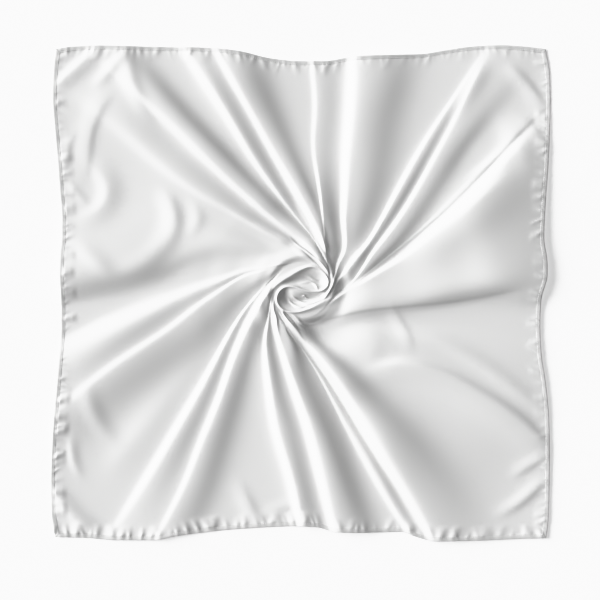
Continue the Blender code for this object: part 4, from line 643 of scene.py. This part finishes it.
def field_grid(inset, inner, rings, columns, swell=1.3):
    """Plan points of the spread cloth: rows are rings, inner one first."""
    xs, ys = [], []
    stations = np.array([inner, 45, 60, 80, 105, 140, 190, 240, 300, 350])
    radii = np.linspace(inner, 350, 200)
    for side in ("top", "left", "bottom", "right"):
        start = corner_bearing(SIDES[side]["ends"][0], inset)
        stop = corner_bearing(SIDES[side]["ends"][1], inset)
        if stop < start:
            stop += 360.0
        rim_b, rim_r, _s = rim_lookup(side, inset)
        table = np.array([spaced(q, start, stop, columns[side]) for q in stations])
        for i in range(columns[side]):
            lane = np.interp(radii, stations, table[:, i])
            gap = radii - np.interp(lane, rim_b, rim_r)
            edge = radii[np.argmax(gap > 0)]
            for _ in range(6):
                edge = float(np.interp(np.interp(edge, radii, lane), rim_b, rim_r))
            r = inner + (edge - inner) * (np.linspace(0, 1, rings + 1)**swell)
            x, y = place_of(r, np.interp(r, radii, lane))
            xs.append(x)
            ys.append(y)
    return np.array(xs).T, np.array(ys).T


# ------------------------------------------------------- puckers at the hems
PUCKER_TALL = {         # mm; place along the hem in mm and how tall the puckers are there
    "top": [(-345, 2.0), (-200, 1.6), (0, 1.3), (120, 0.7), (345, 1.1)],
    "left": [(-345, 3.4), (-150, 3.0), (0, 2.4), (120, 1.9), (345, 1.7)],
    "bottom": [(-345, 2.6), (-100, 2.1), (100, 1.8), (345, 1.6)],
    "right": [(-345, 2.4), (-100, 1.4), (60, 1.8), (345, 1.8)]}

# From one pucker to the next along each hem, and their half-widths, in mm.
PUCKER_PITCH = {"top": (5.0, 14.0), "left": (5.0, 15.0), "bottom": (5.5, 17.0), "right": (5.0, 14.0)}
PUCKER_HALF = {"top": (1.6, 4.0), "left": (1.8, 4.6), "bottom": (1.9, 5.4), "right": (1.6, 4.2)}


def pucker_rows():
    """Each hem's puckers: place along it in mm, half-width, length inwards,
    lean and height, all uneven."""
    rng = np.random.default_rng(11)
    rows = {}
    for side in SIDES:
        u, out = -345.0, []
        tallest = pchip(*zip(*PUCKER_TALL[side]))
        while u < 345.0:
            u += rng.uniform(*PUCKER_PITCH[side])
            half = rng.uniform(*PUCKER_HALF[side])
            tall = rng.uniform(0.25, 1.0) * float(tallest(u)) * half / 3.2
            out.append((u, half, rng.uniform(1.9, 3.4) * half * (1.8 if rng.random() < 0.25 else 1.0),
                        rng.uniform(-0.45, 0.45), tall))
        rows[side] = out
    return rows


PUCKERS = pucker_rows()


def edge_place(side, x, y):
    """Distance in mm in from a hem's outer edge, and place along it in mm."""
    row = SIDES[side]
    along, across = (x, y) if row["flat"] == 0 else (y, x)
    off = row["curve"](along)
    return np.abs(off) * GRID - np.sign(off) * across * GRID, along * GRID


def puckers(x, y):
    out = np.zeros(x.shape)
    for side in SIDES:
        d, u = edge_place(side, x, y)
        near = d < BORDER_WIDE
        if not np.any(near):
            continue
        dn, un = np.maximum(d[near], 0.0), u[near]
        bump = np.zeros(dn.shape)
        for at, half, reach, lean, tall in PUCKERS[side]:
            inside = np.maximum(dn - 0.6 * HEM_WIDE, 0.0)
            wide = half * (1 + 0.04 * inside)
            bump += tall * np.exp(-((un - at - lean * inside) / wide)**2 - (inside / reach)**1.5)
        fade = 1.0 - smooth(0.6 * BORDER_WIDE, BORDER_WIDE, dn)
        stiff = 0.35 + 0.65 * smooth(0.5 * HEM_WIDE, 1.3 * HEM_WIDE, dn)
        out[near] += bump * fade * stiff
    return out



def cloth(x, y):
    """Top face of the cloth in mm above the floor."""
    x, y = np.asarray(x, float), np.asarray(y, float)
    r, bearing = bearing_of(x, y)
    out = folds(np.maximum(r, 29.0), bearing)
    near = r < BLEND_OUT
    if np.any(near):
        mix = smooth(BLEND_IN, BLEND_OUT, r[near])
        out[near] = out[near] * mix + twist(x[near], y[near]) * (1 - mix)
    out = out + strands(x, y) - REST_CUT
    out = REST_SOFT * np.logaddexp(0.0, out / REST_SOFT) + LIFT
    return out + puckers(x, y)


def cloth_normals(x, y):
    e = 0.2
    gx = (cloth(x + e, y) - cloth(x - e, y)) / (2 * e * GRID)
    gy = (cloth(x, y + e) - cloth(x, y - e)) / (2 * e * GRID)
    n = np.stack([-gx, -gy, np.ones(gx.shape)], axis=-1)
    return n / np.linalg.norm(n, axis=-1, keepdims=True)


# ---------------------------------------------------------------- meshes
def shift_to_frame():
    """Shift in mm that puts the middle of the outline's box at the origin."""
    xs, ys = [], []
    for side in SIDES:
        x, y = side_point(side, np.linspace(0, 1, 400), 0.0)
        xs.append(x)
        ys.append(y)
    xs, ys = np.concatenate(xs), np.concatenate(ys)
    return -0.5 * (xs.min() + xs.max()) * GRID, -0.5 * (ys.min() + ys.max()) * GRID


SHIFT = shift_to_frame()


def points(x, y, z):
    """Plan divisions and heights in mm to metres in the frame, as rows."""
    return np.stack([(x * GRID + SHIFT[0]) * 0.001, (y * GRID + SHIFT[1]) * 0.001, z * 0.001], axis=-1).reshape(-1, 3)


def mesh_object(name, verts, faces, mat, normals=None):
    mesh = bpy.data.meshes.new(name)
    mesh.from_pydata(verts.tolist(), [], faces)
    mesh.materials.append(mat)
    mesh.shade_smooth()
    if normals is not None:
        mesh.normals_split_custom_set_from_vertices(normals.reshape(-1, 3).tolist())
    obj = bpy.data.objects.new(name, mesh)
    bpy.context.scene.collection.objects.link(obj)
    return obj


def quads(rows, cols, closed):
    span = cols if closed else cols - 1
    i, j = np.meshgrid(np.arange(rows - 1), np.arange(span), indexing="ij")
    k = (j + 1) % cols
    a, b, c, d = i * cols + j, (i + 1) * cols + j, (i + 1) * cols + k, i * cols + k
    return np.stack([a, b, c, d], axis=-1).reshape(-1, 4).tolist()


def field_piece(mat):
    x, y = field_grid(BORDER_WIDE / GRID, TWIST_R, RINGS, COLUMNS)
    z = cloth(x, y)
    n = cloth_normals(x, y)
    obj = mesh_object("satin_field", points(x, y, z), quads(*x.shape, True), mat, n)
    return obj, x, y, z, n


def twist_piece(mat, rim_x, rim_y, rim_z, rim_n):
    """The twist on an even triangle net, sharing the field's inner ring."""
    step = 0.42
    rows = []
    for i, yy in enumerate(np.arange(-TWIST_R, TWIST_R, step * 0.866)):
        xx = np.arange(-TWIST_R + (0.5 * step if i % 2 else 0.0), TWIST_R, step)
        keep = np.hypot(xx, yy) < TWIST_R - 0.6 * step
        rows.append(np.stack([xx[keep], np.full(keep.sum(), yy)], axis=-1))
    inner = np.concatenate(rows)
    ring = np.stack([rim_x, rim_y], axis=-1)
    flat = np.concatenate([ring, inner])
    edges = [(i, (i + 1) % len(ring)) for i in range(len(ring))]
    verts, _e, faces, _v, _ed, _f = delaunay_2d_cdt([tuple(p) for p in flat], edges, [], 1, 1e-7)
    flat = np.array([(p[0], p[1]) for p in verts])
    x, y = flat[:, 0], flat[:, 1]
    z, n = cloth(x, y), cloth_normals(x, y)
    count = len(ring)
    z[:count], n[:count] = rim_z, rim_n
    return mesh_object("satin_twist", points(x, y, z), [tuple(f) for f in faces], mat, n)


def border_columns(x, y):
    """For each side, the fine places along it and the field's rim columns."""
    out, first = {}, 0
    seam = BORDER_WIDE / GRID
    for side in ("top", "left", "bottom", "right"):
        pick = [(first + i) % x.shape[1] for i in range(COLUMNS[side] + 1)]
        first += COLUMNS[side]
        k = SIDES[side]["flat"]
        rim = (x[-1, pick], y[-1, pick])[k]
        a, b = CORNERS[SIDES[side]["ends"][0]][k], CORNERS[SIDES[side]["ends"][1]][k]
        run = math.copysign(1.0, b - a)
        s = (rim - (a + run * seam)) / ((b - run * seam) - (a + run * seam))
        s[0], s[-1] = 0.0, 1.0
        coarse = np.arange(len(s))
        fine = np.linspace(0, len(s) - 1, (len(s) - 1) * BORDER_SPLIT + 1)
        out[side] = {"s": np.interp(fine, coarse, s), "fine": fine, "pick": pick}
    return out


def border_piece(mat, x, y, z, n, columns):
    insets = HEM_WIDE * 0.93 + (BORDER_WIDE - HEM_WIDE * 0.93) * np.linspace(1, 0, BORDER_ROWS + 1)**1.15
    xs, ys, zs, ns = [], [], [], []
    for side in ("top", "left", "bottom", "right"):
        row = columns[side]
        s, fine, pick = row["s"][:-1], row["fine"][:-1], row["pick"]
        coarse = np.arange(len(pick))
        px, py = [], []
        for inset in insets:
            qx, qy = side_point(side, s, inset / GRID)
            px.append(qx * np.ones(len(s)))
            py.append(qy * np.ones(len(s)))
        px, py = np.array(px), np.array(py)
        pz, pn = cloth(px, py), cloth_normals(px, py)
        px[0], py[0] = np.interp(fine, coarse, x[-1, pick]), np.interp(fine, coarse, y[-1, pick])
        pz[0] = np.interp(fine, coarse, z[-1, pick])
        pn[0] = np.stack([np.interp(fine, coarse, n[-1, pick, i]) for i in range(3)], axis=-1)
        xs.append(px)
        ys.append(py)
        zs.append(pz)
        ns.append(pn)
    px, py, pz, pn = (np.concatenate(v, axis=1) for v in (xs, ys, zs, ns))
    return mesh_object("satin_border", points(px, py, pz), quads(*px.shape, True), mat, pn)


HEM_SECTION = [
    # inset in mm, height over the cloth in mm, going out over the top
    (5.45, -0.12), (5.55, 0.08), (5.30, 0.22), (4.90, 0.25), (4.50, 0.15), (4.10, 0.26), (2.8, 0.34),
    (1.5, 0.32), (0.7, 0.18), (0.2, -0.06), (0.00, -0.26), (0.25, -0.40), (2.8, -0.42)]
HEM_CURL = 0.09        # mm per mm, the stitched edge lifts outwards


def hem_piece(side, mat, columns):
    s = columns[side]["s"]
    xs, ys, zs = [], [], []
    for inset, over in HEM_SECTION:
        px, py = side_point(side, s, inset / GRID)
        px, py = px * np.ones(len(s)), py * np.ones(len(s))
        base = cloth(px, py)
        xs.append(px)
        ys.append(py)
        zs.append(base + over + HEM_CURL * (HEM_WIDE - inset))
    px, py, pz = np.array(xs).T, np.array(ys).T, np.array(zs).T
    pz = np.maximum(pz, 0.05)
    rows, cols = px.shape
    faces = [(f[0], f[3], f[2], f[1]) for f in quads(rows, cols, True)]
    faces.append(tuple(range(cols)))
    faces.append(tuple((rows - 1) * cols + i for i in range(cols - 1, -1, -1)))
    return mesh_object("hem_" + side + "_strip", points(px, py, pz), faces, mat)


def stitch_piece(side, mat):
    """The row of stitches along one hem: short low threads, joined."""
    row = SIDES[side]
    length = 650.0
    count = int(length / STITCH_PITCH)
    s = (np.arange(count) + 0.5) / count
    half = 0.36 / count
    around, along = 6, 4
    verts, faces = [], []
    t = np.linspace(-1, 1, along + 1)
    inset = 4.5 / GRID
    lx, ly = side_point(side, np.clip(s[:, None] + half * t[None, :], 0, 1), inset)
    lx, ly = lx * np.ones((count, along + 1)), ly * np.ones((count, along + 1))
    lz = cloth(lx, ly) + 0.24 + HEM_CURL * (HEM_WIDE - 4.5)
    ends = np.array([0.35, 0.9, 1.0, 0.9, 0.35])
    dip = np.array([-0.30, -0.03, 0.03, -0.03, -0.30])
    flat = row["flat"]
    for i in range(count):
        base = len(verts)
        for j in range(along + 1):
            for a in range(around):
                w = 2 * math.pi * a / around
                across = 0.34 * ends[j] * math.cos(w) / GRID
                up = 0.28 * ends[j] * math.sin(w) + dip[j]
                px = lx[i, j] + (across if flat == 1 else 0.0)
                py = ly[i, j] + (across if flat == 0 else 0.0)
                verts.append((px, py, lz[i, j] + up))
        for j in range(along):
            for a in range(around):
                b = (a + 1) % around
                faces.append((base + j * around + a, base + j * around + b,
                              base + (j + 1) * around + b, base + (j + 1) * around + a))
        faces.append(tuple(base + a for a in range(around - 1, -1, -1)))
        faces.append(tuple(base + along * around + a for a in range(around)))
    v = np.array(verts)
    return mesh_object("stitches_" + side, points(v[:, 0], v[:, 1], v[:, 2]), faces, mat)


# -------------------------------------------------------------- materials
def node(tree, kind, **settings):
    made = tree.nodes.new(kind)
    for key, value in settings.items():
        setattr(made, key, value)
    return made


def satin_material(name, colour, roughness, metallic, weave):
    mat = bpy.data.materials.new(name)
    mat.use_nodes = True
    tree = mat.node_tree
    shader = tree.nodes["Principled BSDF"]
    shader.inputs["Roughness"].default_value = roughness
    shader.inputs["Metallic"].default_value = metallic
    shader.inputs["Specular IOR Level"].default_value = 0.35
    where = node(tree, "ShaderNodeTexCoord")
    cloudy = node(tree, "ShaderNodeTexNoise")
    cloudy.inputs["Scale"].default_value = 26.0
    cloudy.inputs["Detail"].default_value = 3.0
    tint = node(tree, "ShaderNodeMix", data_type="RGBA")
    tint.inputs["A"].default_value = (*[c * 0.985 for c in colour], 1.0)
    tint.inputs["B"].default_value = (*colour, 1.0)
    tree.links.new(where.outputs["Object"], cloudy.inputs["Vector"])
    tree.links.new(cloudy.outputs["Fac"], tint.inputs["Factor"])
    tree.links.new(tint.outputs["Result"], shader.inputs["Base Color"])
    fine = node(tree, "ShaderNodeTexNoise")
    fine.inputs["Scale"].default_value = 700.0
    fine.inputs["Detail"].default_value = 2.0
    tree.links.new(where.outputs["Object"], fine.inputs["Vector"])
    bump = node(tree, "ShaderNodeBump")
    bump.inputs["Strength"].default_value = weave
    bump.inputs["Distance"].default_value = 0.0002
    tree.links.new(fine.outputs["Fac"], bump.inputs["Height"])
    tree.links.new(bump.outputs["Normal"], shader.inputs["Normal"])
    return mat


def thread_material(name, colour):
    """Twisted polyester: fine slanting ply along each stitch."""
    mat = bpy.data.materials.new(name)
    mat.use_nodes = True
    tree = mat.node_tree
    shader = tree.nodes["Principled BSDF"]
    shader.inputs["Roughness"].default_value = 0.6
    shader.inputs["Specular IOR Level"].default_value = 0.2
    where = node(tree, "ShaderNodeTexCoord")
    ply = node(tree, "ShaderNodeTexWave", wave_type="BANDS", bands_direction="DIAGONAL")
    ply.inputs["Scale"].default_value = 900.0
    ply.inputs["Distortion"].default_value = 1.5
    tint = node(tree, "ShaderNodeMix", data_type="RGBA")
    tint.inputs["A"].default_value = (*[c * 0.93 for c in colour], 1.0)
    tint.inputs["B"].default_value = (*colour, 1.0)
    tree.links.new(where.outputs["Object"], ply.inputs["Vector"])
    tree.links.new(ply.outputs["Fac"], tint.inputs["Factor"])
    tree.links.new(tint.outputs["Result"], shader.inputs["Base Color"])
    bump = node(tree, "ShaderNodeBump")
    bump.inputs["Strength"].default_value = 0.3
    bump.inputs["Distance"].default_value = 0.0001
    tree.links.new(ply.outputs["Fac"], bump.inputs["Height"])
    tree.links.new(bump.outputs["Normal"], shader.inputs["Normal"])
    return mat


def floor_material():
    """Matt white paper, lit a little from behind so the shadows stay pale."""
    mat = bpy.data.materials.new("floor_paper")
    mat.use_nodes = True
    shader = mat.node_tree.nodes["Principled BSDF"]
    shader.inputs["Base Color"].default_value = (0.80, 0.80, 0.80, 1.0)
    shader.inputs["Roughness"].default_value = 0.9
    shader.inputs["Specular IOR Level"].default_value = 0.0
    shader.inputs["Emission Color"].default_value = (1.0, 1.0, 1.0, 1.0)
    shader.inputs["Emission Strength"].default_value = 0.46
    return mat


# ------------------------------------------------------- light and camera
KEY = {"from": WINDOW, "up": 25.0, "spread": 50.0, "strength": 6.86}
FILL = {"from": WINDOW, "up": 65.0, "spread": 120.0, "strength": 0.10}
SKY = 0.08
# Soft shoulder for the highlights: light in, light out.
SHOULDER = [(0.0, 0.0), (0.30, 0.30), (0.60, 0.60), (0.74, 0.738), (0.84, 0.826), (0.94, 0.895),
            (1.06, 0.936), (1.25, 0.958), (1.60, 0.975), (2.40, 0.992)]


def sun(name, row):
    lamp = bpy.data.lights.new(name, "SUN")
    lamp.energy = row["strength"]
    lamp.angle = math.radians(row["spread"])
    obj = bpy.data.objects.new(name, lamp)
    obj.rotation_euler = (math.radians(90 - row["up"]), 0.0, math.radians(row["from"] + 90))
    obj.location = (0.0, 0.0, 2.0)
    bpy.context.scene.collection.objects.link(obj)


def studio():
    scene = bpy.context.scene
    scene.view_settings.view_transform = "Standard"
    top = SHOULDER[-1][0]
    scene.view_settings.use_curve_mapping = True
    curves = scene.view_settings.curve_mapping
    curves.white_level = (top, top, top)
    curve = curves.curves[3]
    curve.points[0].location = (0.0, 0.0)
    curve.points[-1].location = (1.0, SHOULDER[-1][1])
    for light_in, light_out in SHOULDER[1:-1]:
        curve.points.new(light_in / top, light_out)
    curves.update()
    world = bpy.data.worlds.new("studio")
    scene.world = world
    world.use_nodes = True
    world.node_tree.nodes["Background"].inputs["Color"].default_value = (1.0, 1.0, 1.0, 1.0)
    world.node_tree.nodes["Background"].inputs["Strength"].default_value = SKY
    sun("key_light", KEY)
    sun("fill_light", FILL)
    floor_mat = floor_material()
    size = 3.0
    corner = np.array([[-size, -size, 0.0], [size, -size, 0.0], [size, size, 0.0], [-size, size, 0.0]])
    floor = mesh_object("studio_floor", corner, [(0, 1, 2, 3)], floor_mat)
    lens = bpy.data.cameras.new("camera")
    view = bpy.data.objects.new("camera", lens)
    high = 4.0
    lens.sensor_width = 36.0
    lens.lens = 36.0 / (600 * GRID * 0.001) * high
    lens.clip_end = 50.0
    view.location = ((-2.0 * GRID + SHIFT[0]) * 0.001, (-10.0 * GRID + SHIFT[1]) * 0.001, high)
    scene.collection.objects.link(view)
    scene.camera = view
    return floor


def main():
    floor = studio()
    satin = satin_material("satin", (0.745, 0.745, 0.742), 0.50, 0.0, 0.25)
    # The hems are the same satin as the cloth, with a darker base colour as painted shade for the grey line and shadow
    # along the hemmed edges.
    hem_shade_painted_mat = satin_material("satin_hem_painted_shade", (0.62, 0.62, 0.617), 0.55, 0.0, 0.5)
    thread = thread_material("thread", (0.90, 0.90, 0.90))
    field, x, y, z, n = field_piece(satin)
    middle = twist_piece(satin, x[0], y[0], z[0], n[0])
    columns = border_columns(x, y)
    border = border_piece(satin, x, y, z, n, columns)
    hems = {side: hem_piece(side, hem_shade_painted_mat, columns) for side in SIDES}
    stitches = {side: stitch_piece(side, thread) for side in SIDES}
    for piece in (field, middle, border, *hems.values(), *stitches.values()):
        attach(piece, "root")
    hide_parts("spread_panel")
    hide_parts("twist_upper_coil", "twist_lower_coil")
    for side in SIDES:
        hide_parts("hem_" + side)


main()
bpy.context.view_layer.update()
